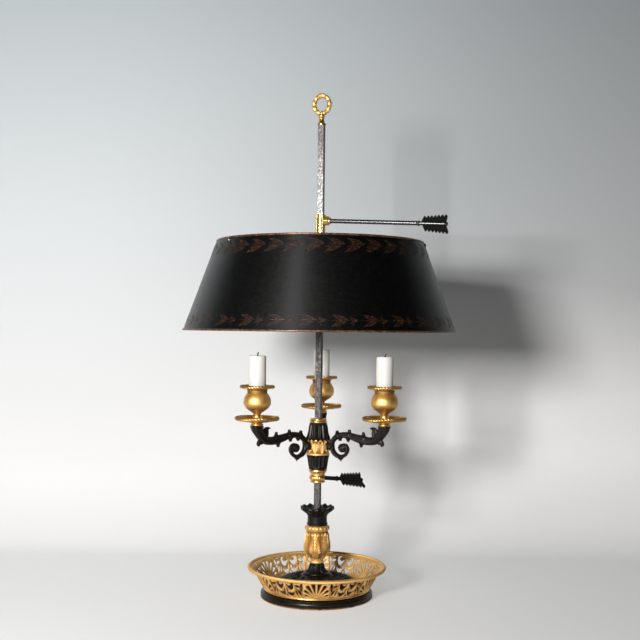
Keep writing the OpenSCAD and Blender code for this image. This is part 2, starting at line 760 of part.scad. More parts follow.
module hub_band() {
    rim = hub_radius - 0.8;
    waist = hub_radius - 3.2;
    color(GILT) difference() {
        union() {
            turned(concat(
                arc([rim - 1.3, band_level + 1.4], 1.3, -90, 60, 5),
                curve([[waist + 0.6, band_level + 4.2], [waist, band_level + 7],
                    [waist, upper_bell_level - 7], [waist + 0.6, upper_bell_level - 4.2]], 2),
                arc([rim - 1.3, upper_bell_level - 1.4], 1.3, -60, 90, 5)), sleeve_bore);
            for (a = [left_angle, right_angle, back_angle])
                at_arm(a) translate([sleeve_bore + 1, 0, arm_root_level]) rotate([0, 90, 0])
                    cylinder(r = 5, h = arm_root_radius - sleeve_bore - 1, $fn = 48);
        }
        for (a = [left_angle, right_angle, back_angle])
            at_arm(a) translate([0, 0, arm_root_level]) rotate([0, 90, 0])
                cylinder(r = arm_tenon_radius + turn_gap, h = 40, $fn = 32);
    }
}

module hub_upper_bell() {
    narrow = hub_radius - 4.8;
    wide = hub_radius - 0.9;
    color(BRONZE) difference() {
        turned(curve([[wide - 0.8, upper_bell_level], [wide, upper_bell_level + 1.6],
            [wide - 1, upper_bell_level + 4.4], [narrow + 1.9, upper_bell_level + 9.6],
            [narrow + 0.9, upper_bell_level + 15.6], [narrow, top_collar_level]], 2), sleeve_bore);
        flutes(narrow + 2.9, narrow + 0.3, upper_bell_level + 3.6, top_collar_level - 1, 0.95);
    }
}

module hub_top_collar() {
    r = hub_radius - 5;
    color(GILT) turned(concat(
        [[r - 0.6, top_collar_level]],
        arc([r - 1.2, top_collar_level + 1.7], 1.3, -50, 50, 4),
        [[r - 0.9, top_collar_level + 3]],
        arc([r - 1, hub_top - 1.2], 1, -40, 90, 4)), sleeve_bore);
}

module at_arm(a) { rotate([0, 0, a]) children(); }

function cup_rise(a) = a == back_angle ? back_rise : 0;

// Points of an arm whose cup stands `up` higher: on the way from the hub to the candle at
// a height above the arm's root, inward and down from the cup, and round the volute's eye.
function along(share, rise, up) =
    [arm_root_radius + share * (candle_circle_radius - arm_root_radius),
     arm_root_level + rise + share * up];
function from_cup(inward, down, up) =
    [candle_circle_radius - inward, cup_level + up - down];
eye = [arm_root_radius + 21.3, arm_root_level - 1.5];
function spoke(t, r) = eye + r * [cos(t), sin(t)];
function row(p, wide, thick = arm_half_thickness) = [p[0], p[1], wide, thick];

// The arm's spine: down from the cup, along to the hub and round the eye.
function spine_rows(up) = concat(
    [row(from_cup(0, 0, up), cup_radius, cup_radius),
     row(from_cup(0, 1.6, up), cup_radius - 0.1, cup_radius - 0.1)],
    curve([
        row(from_cup(0.8, 5, up), 7.4, 7.2), row(from_cup(3.6, 10, up), 6.4, 6),
        row(from_cup(8, 15.4, up), 6, 5.2), row(from_cup(13.6, 19.4, up), 5.6, 4.6),
        row(along(0.719, 9.5, up), 5.4, 4.2), row(along(0.632, 10.6, up), 5.9, 4.2),
        row(along(0.519, 12.4, up), 4.7, 3.8), row(along(0.426, 14.4, up), 3.9),
        row(along(0.32, 15.6, up), 3.7), row(along(0.226, 15.1, up), 3.2),
        row(along(0.15, 12.2, up), 3.4), row(eye - [14.1, -8.6], 3),
        row(eye - [15.1, -1.8], 2.9), row(eye - [13.7, 4.6], 3.1), row(eye - [9.5, 9.4], 3),
        row(spoke(257, 11.9), 2.5, 3.2), row(spoke(291, 9.8), 2.4, 3.1),
        row(spoke(315, 8.5), 2.5, 3), row(spoke(337, 8), 2.3, 3), row(spoke(360, 7.4), 2.1, 2.9),
        row(spoke(398, 6.6), 1.6, 2.8), row(spoke(436, 5.4), 1.2, 2.7)], 2));

function horn_rows(up) = curve([
    row(from_cup(10.5, 18, up), 5, 3.6), row(from_cup(12, 13, up), 5, 3.2),
    row(from_cup(12.8, 9, up), 4.8, 3), row(from_cup(13.8, 6, up), 4, 2.6),
    row(from_cup(15.6, 4.4, up), 2.6, 2.2), row(from_cup(17.9, 3.8, up), 1.4, 1.8),
    row(from_cup(20, 4.4, up), 0.6, 1)], 2);

function curl_rows(up) = curve([
    row(from_cup(8.4, 19.8, up), 3.4, 3), row(from_cup(3.9, 22.1, up), 2.8, 2.8),
    row(from_cup(2.3, 24.3, up), 2.2, 2.4), row(from_cup(3.6, 26.6, up), 1, 1.4)], 2);

// A bud from its foot in the arm's plane.
module bud(foot, reach, wide = 2.7, end = 1.7) {
    translate([foot[0], 0, foot[1]])
        rotate([0, 90 - atan2(reach[1], reach[0]), 0])
            cylinder(r1 = wide, r2 = end, h = norm(reach), $fn = 24);
}

module arm(a) {
    up = cup_rise(a);
    disc_radius = 6;
    barrel_radius = 5.5;
    color(BRONZE) at_arm(a) {
        swept(spine_rows(up));
        swept(horn_rows(up));
        swept(curl_rows(up));
        bud(along(0.177, 13.8, up), [-1, 6.6]);
        bud(along(0.382, 15, up), [0.6, 7.4]);
        bud(along(0.644, 11, up), [-0.8, 9.2]);
        bud(along(0.607, 8.3, up), [-0.7, -6.8]);
        bud(along(0.37, 13.8, up), [-0.4, -6.1]);
        bud(along(0.217, 13.3, up), [0.3, -5.2]);
        bud(eye - [2.7, 10.8], [0.6, -6.5], 3.2, 0.5);
        translate([eye[0], 0, eye[1]]) rotate([90, 0, 0])
            cylinder(r = disc_radius, h = 5.6, center = true, $fn = 48);
        translate([arm_root_radius, 0, arm_root_level]) rotate([0, 90, 0])
            cylinder(r = barrel_radius, h = 7, $fn = 48);
        translate([slider_bore + 3.4, 0, arm_root_level]) rotate([0, 90, 0])
            cylinder(r = arm_tenon_radius, h = arm_root_radius, $fn = 32);
        translate([candle_circle_radius, 0, cup_level + up - 2])
            cylinder(r = stud_radius, h = 2 + pan_collar_height + pan_hub_height + 8, $fn = 32);
    }
}

// ---- Candle stack ----

module at_candle(a) {
    rotate([0, 0, a]) translate([candle_circle_radius, 0, cup_rise(a)]) children();
}

module pan_collar(a) {
    color(GILT) at_candle(a) turned(concat(
        [[cup_radius - 0.9, cup_level]],
        arc([cup_radius - 1.1, cup_level + 1.3], 1.2, -60, 60, 4),
        [[cup_radius - 1.8, cup_level + 2.8], [cup_radius - 1.2, pan_level]]), stud_bore);
}

module drip_pan(a) {
    rim = 2.1;
    rim_circle = [pan_radius - rim, pan_level + 5.7];
    color(GILT) at_candle(a) rotate_extrude($fn = 96) polygon(concat(
        [[stud_bore, pan_level], [cup_radius + 0.4, pan_level], [17, pan_level + 1.2],
         [pan_radius - 5, pan_level + 2.7]],
        arc(rim_circle, rim, -75, 165, 10),
        [[pan_radius - 5.4, pan_level + 4.3], [17, pan_level + 2.6], [9.5, pan_level + 2],
         [7.4, pan_level + 2.4], [6.4, nozzle_level], [stud_bore, nozzle_level]]));
}

module nozzle(a) {
    belly = nozzle_level + 22.8;
    neck = nozzle_top - 5.4;
    ball = curve([[5, belly - 14.8], [7.8, belly - 12.6],
        [nozzle_radius - 3.6, belly - 8.2], [nozzle_radius - 0.5, belly - 3.4],
        [nozzle_radius, belly], [nozzle_radius - 0.6, (2 * belly + neck) / 3 + 0.7],
        [nozzle_radius - 2.2, (belly + 2 * neck) / 3 + 0.7], [nozzle_bore + 1.3, neck]], 2);
    color(GILT) at_candle(a) difference() {
        turned(concat(
            [[5.4, nozzle_level], [6, nozzle_level + 0.8], [5.8, nozzle_level + 2],
             [4.6, nozzle_level + 3], [4.4, nozzle_level + 5.6]],
            ball,
            [[nozzle_bore + 0.8, nozzle_top - 4.6], [nozzle_bore + 0.8, nozzle_top - 4],
             [nozzle_bore + 1.4, nozzle_top - 3.2], [nozzle_bore + 1.4, nozzle_top - 0.6],
             [nozzle_bore + 1, nozzle_top]]));
        cylinder_between(nozzle_bore, candle_level - seat_gap, nozzle_top + 1);
        cylinder_between(stud_bore, nozzle_level - 1, nozzle_level + 8.6);
    }
}

module bobeche(a) {
    rim = 2;
    foot = nozzle_top + seat_gap;
    color(GILT) at_candle(a) rotate_extrude($fn = 96) polygon(concat(
        [[bobeche_bore, nozzle_top - 14], [bobeche_tube, nozzle_top - 14],
         [bobeche_tube, foot], [nozzle_bore + 2, foot], [bobeche_radius - 3.6, foot + 1.4]],
        arc([bobeche_radius - rim, foot + 3.2], rim, -60, 165, 10),
        [[bobeche_radius - 5, foot + 2.7], [bobeche_bore + 2, foot + 1.8],
         [bobeche_bore, foot + 2.2]]));
}

wick_depth = 8;
wick_radius = 1;

module candle(a) {
    color(WAX) at_candle(a) difference() {
        turned([[candle_radius - 0.6, candle_level], [candle_radius, candle_level + 0.6],
            [candle_radius, candle_top - 0.8], [candle_radius - 0.7, candle_top]]);
        cylinder_between(wick_radius + turn_gap, candle_top - wick_depth, candle_top + 1);
    }
}

module wick(a) {
    color(SOOT) at_candle(a) {
        cylinder_between(wick_radius, candle_top - wick_depth, candle_top + 3.4);
        translate([0, 0, candle_top + 3]) rotate([0, -28, -a])
            cylinder(r1 = wick_radius, r2 = 0.7, h = 4.4, $fn = 24);
    }
}

plinth();
gallery();
gallery_rope_rim();
base_dome();
foot_neck();
baluster();
crown();
rod();
base_washer();
base_nut();
finial_socket();
finial_wreath();
shade_slider();
shade_spider();
shade_rivets();
shade_shell();
shade_top_bead();
shade_bottom_bead();
upper_key_shaft();
upper_key_arrow();
hub_sleeve();
hub_bottom_collar();
hub_lower_bell();
hub_band();
hub_upper_bell();
hub_top_collar();
arm(left_angle);  // arm_left
arm(right_angle);  // arm_right
arm(back_angle);  // arm_back
pan_collar(left_angle);  // pan_collar_left
pan_collar(right_angle);  // pan_collar_right
pan_collar(back_angle);  // pan_collar_back
drip_pan(left_angle);  // drip_pan_left
drip_pan(right_angle);  // drip_pan_right
drip_pan(back_angle);  // drip_pan_back
nozzle(left_angle);  // nozzle_left
nozzle(right_angle);  // nozzle_right
nozzle(back_angle);  // nozzle_back
lower_key_shaft();
lower_key_arrow();
bobeche(left_angle);  // bobeche_left
bobeche(right_angle);  // bobeche_right
bobeche(back_angle);  // bobeche_back
candle(left_angle);  // candle_left
candle(right_angle);  // candle_right
candle(back_angle);  // candle_back
wick(left_angle);  // wick_left
wick(right_angle);  // wick_right
wick(back_angle);  // wick_back
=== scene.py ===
# %% [markdown]
# # A bouillotte lamp, dressed step by step
# The lamp is a candle lamp: a pierced tray carries a square iron rod, three candle branches
# slide on the rod, and so does a tin shade. This file loads the plain solids of its CAD model
# as a fixed frame and gives every piece its carving, its finish and its light.

# %% Load the frame
import json
import math

import bpy
import numpy as np
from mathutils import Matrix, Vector


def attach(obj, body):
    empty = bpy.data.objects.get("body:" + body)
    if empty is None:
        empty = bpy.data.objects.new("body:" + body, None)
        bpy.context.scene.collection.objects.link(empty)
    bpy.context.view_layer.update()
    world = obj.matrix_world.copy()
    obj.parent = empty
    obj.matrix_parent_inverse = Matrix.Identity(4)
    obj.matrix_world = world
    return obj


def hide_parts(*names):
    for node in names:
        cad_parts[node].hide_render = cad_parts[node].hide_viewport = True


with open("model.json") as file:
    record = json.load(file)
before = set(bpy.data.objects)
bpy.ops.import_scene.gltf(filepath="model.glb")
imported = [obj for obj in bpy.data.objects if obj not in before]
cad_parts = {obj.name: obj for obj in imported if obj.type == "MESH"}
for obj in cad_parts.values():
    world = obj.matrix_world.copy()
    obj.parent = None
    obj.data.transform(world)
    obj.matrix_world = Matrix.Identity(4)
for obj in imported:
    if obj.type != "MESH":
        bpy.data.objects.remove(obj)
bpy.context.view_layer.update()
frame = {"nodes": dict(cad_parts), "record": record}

# %% [markdown]
# ## Sizes
# The pieces are drawn in millimetres, as a maker would, and turned to metres when a mesh is
# built. The sizes are those of the CAD model, so that each piece lands on its solid.

# %% Sizes of the lamp, in millimetres and degrees
MM, FULL = 0.001, 2 * math.pi
ROD_TURN = -17
ARM_ANGLES = {"left": 214, "right": 334, "back": 87.6}
CANDLE_CIRCLE, BACK_RISE = 94.5, 6.2
print("sizes set: candles stand", CANDLE_CIRCLE, "mm from the rod")

# %% [markdown]
# ## Shader sums
# A finish is mostly sums on masks. Wiring Math nodes by hand hides those sums, so a small
# class wraps a socket and lets plain operators add the nodes. Anything that isn't a sum comes
# from one method, `add`, which takes the node's type, its inputs and its settings.

# %% A socket that can be added, multiplied and mixed
class Wire:
    """One output socket of a node tree."""

    def __init__(self, kit, socket):
        self.kit, self.socket = kit, socket

    def of(self, operation, *others):
        """A Math node on this wire and the values after it."""
        return self.kit.math(operation, self, *others)

    def clamped(self):
        return self.kit.math("ADD", self, 0.0, clamp=True)

    def step(self, low, high):
        """0 below low, 1 above high, with a soft slope between."""
        return self.kit.add("ShaderNodeMapRange",
                            {"Value": self, "From Min": low, "From Max": high},
                            interpolation_type="SMOOTHSTEP")


for sign, name in (("add", "ADD"), ("sub", "SUBTRACT"), ("mul", "MULTIPLY"),
                   ("truediv", "DIVIDE"), ("pow", "POWER")):
    setattr(Wire, f"__{sign}__", lambda a, b, name=name: a.kit.math(name, a, b))
    setattr(Wire, f"__r{sign}__", lambda a, b, name=name: a.kit.math(name, b, a))


class Kit:
    """Builds a node tree, of a material or of Geometry Nodes."""

    def __init__(self, tree):
        self.tree = tree

    def feed(self, socket, value):
        """Links a wire to a socket, or sets the socket's value."""
        if isinstance(value, Wire):
            self.tree.links.new(value.socket, socket)
        else:
            socket.default_value = (*value, 1.0) if socket.type == "RGBA" else value

    def add(self, kind, inputs=None, output=0, **settings):
        """A new node: its settings first, then its inputs, by name or number."""
        node = self.tree.nodes.new(kind)
        stops = settings.pop("stops", ())
        for name, value in settings.items():
            setattr(node, name, value)
        while stops and len(node.color_ramp.elements) < len(stops):
            node.color_ramp.elements.new(0.5)
        for element, (place, colour) in zip(node.color_ramp.elements if stops else (), stops):
            element.position, element.color = place, (*colour, 1.0)
        for name, value in (inputs or {}).items():
            self.feed(node.inputs[name], value)
        return Wire(self, node.outputs[output])

    def math(self, operation, *values, clamp=False):
        return self.add("ShaderNodeMath", dict(enumerate(values)), operation=operation,
                        use_clamp=clamp)

    def mix(self, factor, first, second):
        """A colour between two colours."""
        return self.add("ShaderNodeMix", {0: factor, 6: first, 7: second}, 2, data_type="RGBA")

    def axis(self, place, number):
        return self.add("ShaderNodeSeparateXYZ", {"Vector": place}, number)


print("shader sums ready")

# %% [markdown]
# ## A material's frame
# Every finish here is a Principled shader. What varies over the surface goes to its colour,
# roughness, metal share and normal; everything else is one number on the shader itself.

# %% Start and end of every finish
class Finish(Kit):
    """A material whose Principled shader gets its inputs at the end."""

    def __init__(self, name, **plain):
        self.material = bpy.data.materials.new(name)
        self.material.use_nodes = True
        super().__init__(self.material.node_tree)
        self.place = self.add("ShaderNodeTexCoord", output=3)
        self.done(**plain)

    def noise(self, scale, detail=3.0, place=None, rough=0.5):
        """Soft clouds from 0 to 1; the scale is in bumps a metre."""
        return self.add("ShaderNodeTexNoise",
                        {"Vector": place or self.place, "Scale": float(scale),
                         "Detail": detail, "Roughness": rough})

    def streaks(self, scales, detail=3.0, rough=0.5, place=None):
        """Noise with its own scale along each axis."""
        place = self.add("ShaderNodeMapping", {"Vector": place or self.place, "Scale": scales})
        return self.noise(1.0, detail, place, rough)

    def named(self, attribute, output=2):
        """A number that the mesh carries at each point."""
        return self.add("ShaderNodeAttribute", output=output, attribute_name=attribute)

    def bump(self, height, strength, distance):
        """A normal from a height; distance is the height's size in metres."""
        return self.add("ShaderNodeBump",
                        {"Height": height, "Strength": strength, "Distance": distance})

    def done(self, **inputs):
        """Feeds the shader and returns the material."""
        shader = self.tree.nodes["Principled BSDF"]
        for name, value in inputs.items():
            self.feed(shader.inputs[name.replace("_", " ")], value)
        return self.material


FINISHES = {}
print("finishes can be made")

# %% [markdown]
# ## Ormolu
# The gilt pieces are bronze with fire gilding. The gilder leaves the relief matt and rubs the
# rims with an agate until they shine. The hollows are painted a darker, browner gold as
# painted shade. The mesh carries the hollows as a number at each point, so the finish follows
# the carving from any side.

# %% Matt and burnished gilding, and rubbed brass
def gilt(name, matt, shine, lines=None, metal=1.0, deep=(0.20, 0.082, 0.018), lined=0.28):
    """Gilding: matt is its roughness in the field, shine on the high spots. Deep is the shade
    painted in the hollows, lines the scales of its turning lines and lined their share of dark."""
    f = Finish(name, Metallic=metal, IOR=1.5)
    shaded_hollow, cloud = f.named("cavity").clamped(), f.noise(90, 4)
    tone = f.mix(cloud.step(0.35, 0.7), (0.81, 0.52, 0.195), (0.74, 0.455, 0.155))
    # The hollows are painted darker and browner here: painted shade.
    colour = f.mix(shaded_hollow * (0.75 + 0.25 * cloud), tone, deep)
    height = f.noise(2600, 2) * 0.35 + f.noise(700, 3) * 0.65
    rough = matt - (matt - shine) * (1 - shaded_hollow) * cloud.step(0.3, 0.75) + 0.12 * shaded_hollow
    if lines:
        line = f.streaks(lines, 4, 0.7, f.named("turned", 1))
        height = height * 0.3 + line
        rough = rough + 0.10 * (line - 0.5)
        colour = f.mix(line.step(0.35, 0.65) * lined, colour, (0.42, 0.24, 0.06))
    return f.done(Base_Color=colour, Roughness=rough, Normal=f.bump(height, 0.5, 0.0002))


def polished_brass():
    """Brass rubbed bright. A long polishing has rounded its faces, which the normals show."""
    f = Finish("polished_brass", Metallic=0.82, IOR=1.4)
    turn = f.add("ShaderNodeMapping", {"Vector": f.place,
                                       "Rotation": (0, 0, -math.radians(ROD_TURN))})
    flat = f.add("ShaderNodeVectorMath", {0: turn, 1: (1, 1, 0)}, operation="MULTIPLY")
    near = f.add("ShaderNodeVectorMath", {0: flat}, 1, operation="LENGTH").of("MINIMUM", 0.0064)
    cloud = f.noise(160, 3)
    rub = f.streaks((900, 900, 40))
    colour = f.mix(cloud.step(0.35, 0.7), (0.56, 0.385, 0.135), (0.46, 0.305, 0.095))
    return f.done(Base_Color=colour, Roughness=0.12 + 0.05 * cloud,
                  Normal=f.bump(near * near * -70000 + rub * 0.03, 1.0, 0.001))


FINISHES.update(
    gilt_bronze=gilt("ormolu", 0.60, 0.42, metal=0.85),
    burnished=gilt("burnished_gilding", 0.36, 0.24, (5, 5, 2600)),
    # The nozzles' hollows, such as the recess under the bobeche, get a near-black painted shade.
    brushed_gilt=gilt("brushed_gilding", 0.54, 0.44, (22, 22, 14), deep=(0.045, 0.020, 0.005),
                      lined=0.6),
    polished_brass=polished_brass())
print("gilding:", [m.name for m in FINISHES.values()])

# %% [markdown]
# ## Black bronze and iron
# The dark parts are bronze under a black patina that hands have rubbed brown on the edges,
# and iron that is blackened or left grey. A number named `wear` marks the rubbed edges, and
# `bare` the metal that the patina has left.

# %% Patinated bronze, blackened iron and the rod's grey iron
def black_bronze():
    f = Finish("black_bronze", Metallic=0.0, IOR=1.27)
    cloud = f.noise(160, 4)
    rubbed = (f.named("wear") * f.noise(420, 3).step(0.46, 0.74)).clamped()
    bare = f.named("bare") * cloud.step(0.30, 0.48)
    shaded_hollow = f.named("cavity").clamped()
    ground = f.mix(cloud, (0.0024, 0.0022, 0.0018), (0.0060, 0.0054, 0.0042))
    # The hollows are painted darker still: painted shade.
    colour = f.mix(rubbed, f.mix(shaded_hollow, ground, (0.0014, 0.0012, 0.001)), (0.080, 0.036, 0.012))
    height = f.noise(900, 3) * 0.6 + f.noise(240, 2) * 0.4
    return f.done(Base_Color=f.mix(bare, colour, (0.40, 0.225, 0.075)),
                  Roughness=0.25 + 0.14 * cloud + 0.16 * shaded_hollow,
                  Metallic=(rubbed * 0.5 + bare).clamped(), Normal=f.bump(height, 0.3, 0.0003))


def black_iron(name, ior, scale, dark, pale, worn, rough, spread, strength):
    """Blackened iron: the patches' scale, their two colours and the worn one, the least
    roughness and its spread, and how strong its grain is."""
    f = Finish(name, Metallic=0.0, IOR=ior)
    cloud = f.noise(scale, 4)
    colour = f.mix(f.named("wear") * 0.5, f.mix(cloud, dark, pale), worn)
    return f.done(Base_Color=colour, Roughness=rough + spread * cloud,
                  Normal=f.bump(f.noise(1500, 2), strength, 0.0002))


def rod_iron():
    """Iron with a worn grey skin. Round the shade's slider and above it, the rod is painted
    brighter and greyer, a painted reflection that fades towards the top.
    """
    f = Finish("rod_iron", IOR=1.5)
    up = f.axis(f.place, 2)
    patch = f.streaks((440, 440, 340), 5, 0.75).step(0.45, 0.56)
    speck = f.noise(760, 3).step(0.50, 0.62)
    # bright is a painted reflection: a band lighter and greyer from the shade's height up.
    bright = up.step(0.38, 0.50) * (1 - 0.72 * up.step(0.52, 0.62))
    dull = f.mix(patch, (0.006, 0.0040, 0.0036), (0.070, 0.054, 0.050))
    grey = f.mix(patch, (0.10, 0.094, 0.094), (0.43, 0.42, 0.415))
    colour = f.mix(speck * (0.75 - 0.45 * bright), f.mix(bright, dull, grey),
                   (0.010, 0.0075, 0.007))
    return f.done(Base_Color=colour, Metallic=patch * (0.06 + 0.28 * bright),
                  Roughness=0.33 + (0.30 - 0.18 * bright) * (1 - patch) + 0.16 * speck,
                  Normal=f.bump(patch * 0.5 + speck * 0.5, 0.5, 0.0003))


FINISHES.update(
    black_bronze=black_bronze(),
    black_iron=black_iron("blackened_iron", 1.55, 220, (0.0030, 0.0028, 0.0028),
                          (0.009, 0.008, 0.0078), (0.030, 0.022, 0.016), 0.20, 0.14, 0.25),
    lampblack=black_iron("lampblack_iron", 1.10, 300, (0.0012, 0.0011, 0.0010),
                         (0.0034, 0.0031, 0.0027), (0.009, 0.0075, 0.006), 0.52, 0.12, 0.3),
    iron=rod_iron())
print("dark metals:", len(FINISHES), "finishes so far")

# %% [markdown]
# ## Painted tin, wax and wick
# The shade is japanned: black varnish baked on tin plate, rubbed down in level strokes that
# leave a fine grain round the cone. Its leaf borders are painted in a coppery brown that has
# worn. Inside such shades are painted a pale cream, which throws the candle light down.

# %% Japanned tin outside, cream paint inside, painted leaves, wax and wick
def painted_tole():
    f = Finish("painted_tole", IOR=1.45)
    level, patch, inside = f.streaks((150, 150, 300), 4, 0.6), f.noise(14, 4), f.named("inside")
    black = f.mix(level.step(0.3, 0.75), (0.0004, 0.0004, 0.0004), (0.0012, 0.0011, 0.0010))
    cream = f.mix(patch, (0.64, 0.57, 0.45), (0.72, 0.66, 0.54))
    return f.done(Base_Color=f.mix(inside, black, cream),
                  Roughness=0.26 + 0.10 * level + 0.04 * patch + 0.2 * inside,
                  Normal=f.bump(level * 0.8 + patch * 0.2, 0.22, 0.0005))


def painted_leaf():
    f = Finish("painted_leaves", IOR=1.36)
    wear = f.named("wear")
    worn = f.noise(700, 4, None, 0.65).step(0.36, 0.62)
    bright = f.noise(380, 4, None, 0.7).step(0.50, 0.72) * (0.35 + 0.65 * wear)
    tone = f.mix(wear * wear, (0.0050, 0.0022, 0.0011), (0.034, 0.0128, 0.0042))
    colour = f.mix(0.8 * worn, (0.0022, 0.0014, 0.001), f.mix(bright, tone, (0.13, 0.048, 0.013)))
    return f.done(Base_Color=colour, Roughness=0.38 + 0.10 * worn,
                  Normal=f.bump(worn, 0.15, 0.0002))


def bronzed_edge():
    f = Finish("bronzed_edge", Metallic=0.5, IOR=1.5)
    rub = f.noise(260, 4).step(0.3, 0.7)
    return f.done(Base_Color=f.mix(rub, (0.020, 0.011, 0.006), (0.17, 0.080, 0.034)),
                  Roughness=0.30 + 0.12 * rub, Normal=f.bump(rub, 0.2, 0.0002))


def wax():
    f = Finish("candle_wax", IOR=1.44, Subsurface_Weight=0.06, Subsurface_Scale=0.003)
    cloud = f.noise(70, 3)
    run = f.streaks((240, 240, 22))
    return f.done(Base_Color=f.mix(cloud, (0.455, 0.435, 0.412), (0.485, 0.472, 0.455)),
                  Roughness=0.42 + 0.12 * cloud,
                  Normal=f.bump(run * 0.7 + cloud * 0.3, 0.3, 0.0004))


def wick():
    f = Finish("charred_wick", IOR=1.4)
    fibre = f.streaks((3000, 3000, 600))
    return f.done(Base_Color=f.mix(fibre, (0.006, 0.005, 0.005), (0.05, 0.042, 0.036)),
                  Roughness=0.85 + 0.1 * fibre, Normal=f.bump(fibre, 0.6, 0.0003))


FINISHES.update(painted_tole=painted_tole(), painted_leaf=painted_leaf(),
                bronzed_edge=bronzed_edge(), wax=wax(), wick=wick())
print("all", len(FINISHES), "finishes made")

# %% [markdown]
# ## Every solid gets its finish
# The record names a material slot for each solid. Each one takes that slot's finish now;
# carved and turned pieces replace most of them later.

# %% Finish the solids
slot_of = {row["node"]: row["material_slot"] for row in frame["record"]["subparts"]}
for node, solid in frame["nodes"].items():
    solid.data.materials.clear()
    solid.data.materials.append(FINISHES[slot_of[node]])
print("finished", len(frame["nodes"]), "solids")

# %% [markdown]
# ## Curves and turned pieces
# Most of the lamp is turned or cast round an axis. A turned piece is one outline carried
# round; a cast and chased one is the same with carving that lifts or sinks the surface. So
# one helper, `lathe`, takes an outline and a relief, a function of the angle and the height.

# %% Smooth curves, arcs and finer outlines
def turn_z(points, degrees):
    """Points turned about the lamp's axis."""
    a = math.radians(degrees)
    c, s = math.cos(a), math.sin(a)
    return np.asarray(points) @ np.array([[c, s, 0], [-s, c, 0], [0, 0, 1]])


def curve(points, steps=6):
    """A smooth curve through the points."""
    p = [np.array(q, float) for q in points]
    out = []
    for i in range(len(p) - 1):
        a, b, c, d = p[max(i - 1, 0)], p[i], p[i + 1], p[min(i + 2, len(p) - 1)]
        for t in (k / steps for k in range(steps)):
            out.append(0.5 * (2 * b + (c - a) * t + (2 * a - 5 * b + 4 * c - d) * t * t
                              + (3 * b - a - 3 * c + d) * t ** 3))
    return [*map(tuple, out), tuple(p[-1])]


def arc(centre, radius, first, last, steps=8):
    """Part of a circle between two angles in degrees."""
    angles = np.radians(np.linspace(first, last, steps + 1))
    return [(centre[0] + radius * math.cos(a), centre[1] + radius * math.sin(a)) for a in angles]


def finer(outline, longest):
    """The same outline with extra points, so that none are further apart."""
    out = []
    for a, b in zip(outline, outline[1:]):
        a, b = np.array(a, float), np.array(b, float)
        n = max(1, math.ceil(np.linalg.norm(b - a) / longest - 1e-9))
        out += [tuple(a + (b - a) * k / n) for k in range(n)]
    return out + [tuple(outline[-1])]


def lengths(points):
    """How far along a line of points each one lies."""
    return np.concatenate([[0], np.cumsum(np.linalg.norm(np.diff(points, axis=0), axis=1))])


def around(count):
    """Angles of points set evenly round a circle."""
    return np.arange(count) * FULL / count


def bump_at(x, centre, half):
    """A round hump of height 1 at centre that falls to 0 at half away."""
    t = np.clip(np.abs(x - centre) / half, 0, 1)
    return np.sqrt(1 - t * t)


def soft(x, low, high):
    """0 below low, 1 above high and a smooth slope between."""
    t = np.clip((x - low) / (high - low), 0, 1)
    return t * t * (3 - 2 * t)


print("curve helpers ready")


def form(name, points, faces, marks=None, sharp=60):
    """An object from points in millimetres. Marks are numbers at each point. It isn't linked,
    so it isn't seen until `settle` does that."""
    mesh = bpy.data.meshes.new(name)
    mesh.from_pydata(np.asarray(points, float) * MM, [], faces)
    for mark, values in (marks or {}).items():
        values = np.asarray(values, np.float32)
        kind, field = ("FLOAT", "value") if values.ndim == 1 else ("FLOAT_VECTOR", "vector")
        mesh.attributes.new(mark, kind, "POINT").data.foreach_set(field, values.ravel())
    return smoothed(name, mesh, sharp)


def smoothed(name, mesh, sharp):
    mesh.shade_smooth()
    mesh.set_sharp_from_angle(angle=math.radians(sharp))
    return bpy.data.objects.new(name, mesh)


def settle(made, finish, body, nodes):
    """Gives an object its finish and the body that it moves with. It takes the
    place of the nodes named."""
    bpy.context.scene.collection.objects.link(made)
    made.data.materials.clear()
    made.data.materials.append(FINISHES[finish])
    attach(made, body)
    if nodes:
        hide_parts(*nodes)


def piece(name, part, finish, body, *nodes, sharp=40):
    """A finished piece from its points, faces and marks."""
    settle(form(name, *part, sharp), finish, body, nodes)


def skin(rows, sides, closed=False, flip=False, caps=False):
    """Faces over rings of points. Flip is for rings that run the other way round."""
    i, k = np.meshgrid(np.arange(rows - (not closed)), np.arange(sides), indexing="ij")
    i2, k2 = (i + 1) % rows, (k + 1) % sides
    corners = [i * sides + k, i * sides + k2, i2 * sides + k2, i2 * sides + k]
    if flip:
        corners[1], corners[3] = corners[3], corners[1]
    faces = np.stack(corners, -1).reshape(-1, 4).tolist()
    if caps:
        ends = [list(range(sides)), list(range((rows - 1) * sides, rows * sides))]
        ends[flip] = ends[flip][::-1]
        faces += ends
    return faces


def lathe(outline, count, relief=None, longest=1.2, centre=(0, 0)):
    """Points, faces and marks of a turned shape. The outline runs up the outside, from the
    axis to the axis or once round a ring's section. Relief gets the angle, radius, height and
    length along, and returns (height, shade, wear); shade marks the hollows where the finishes
    paint shade."""
    closed = outline[0][0] > 0
    line = finer(list(outline) + ([outline[0]] if closed else []), longest)
    p = np.array(line[:-1] if closed else line, float)
    ahead, behind = np.roll(p, -1, 0), np.roll(p, 1, 0)
    if not closed:
        ahead[-1], behind[0] = p[-1], p[0]
    t = ahead - behind
    t /= np.maximum(np.linalg.norm(t, axis=1), 1e-9)[:, None]
    s, angle, shape = lengths(p)[:, None], around(count), (len(p), count)
    found = relief(angle[None, :], p[:, :1], p[:, 1:], s) if relief else (0, 0, 0)
    lift, cavity, wear = (np.broadcast_to(x, shape) for x in found)
    r = np.maximum(p[:, :1] + lift * t[:, 1:], 0)
    points = np.stack([centre[0] + r * np.cos(angle), centre[1] + r * np.sin(angle),
                       p[:, 1:] - lift * t[:, :1]], -1)
    if not closed:
        points[0], points[-1] = points[0, 0], points[-1, 0]
    turned = np.stack(np.broadcast_arrays(np.cos(angle), np.sin(angle), s * MM), -1)
    marks = {"cavity": cavity.ravel(), "wear": wear.ravel(), "turned": turned.reshape(-1, 3)}
    return points.reshape(-1, 3), skin(*shape, closed), marks


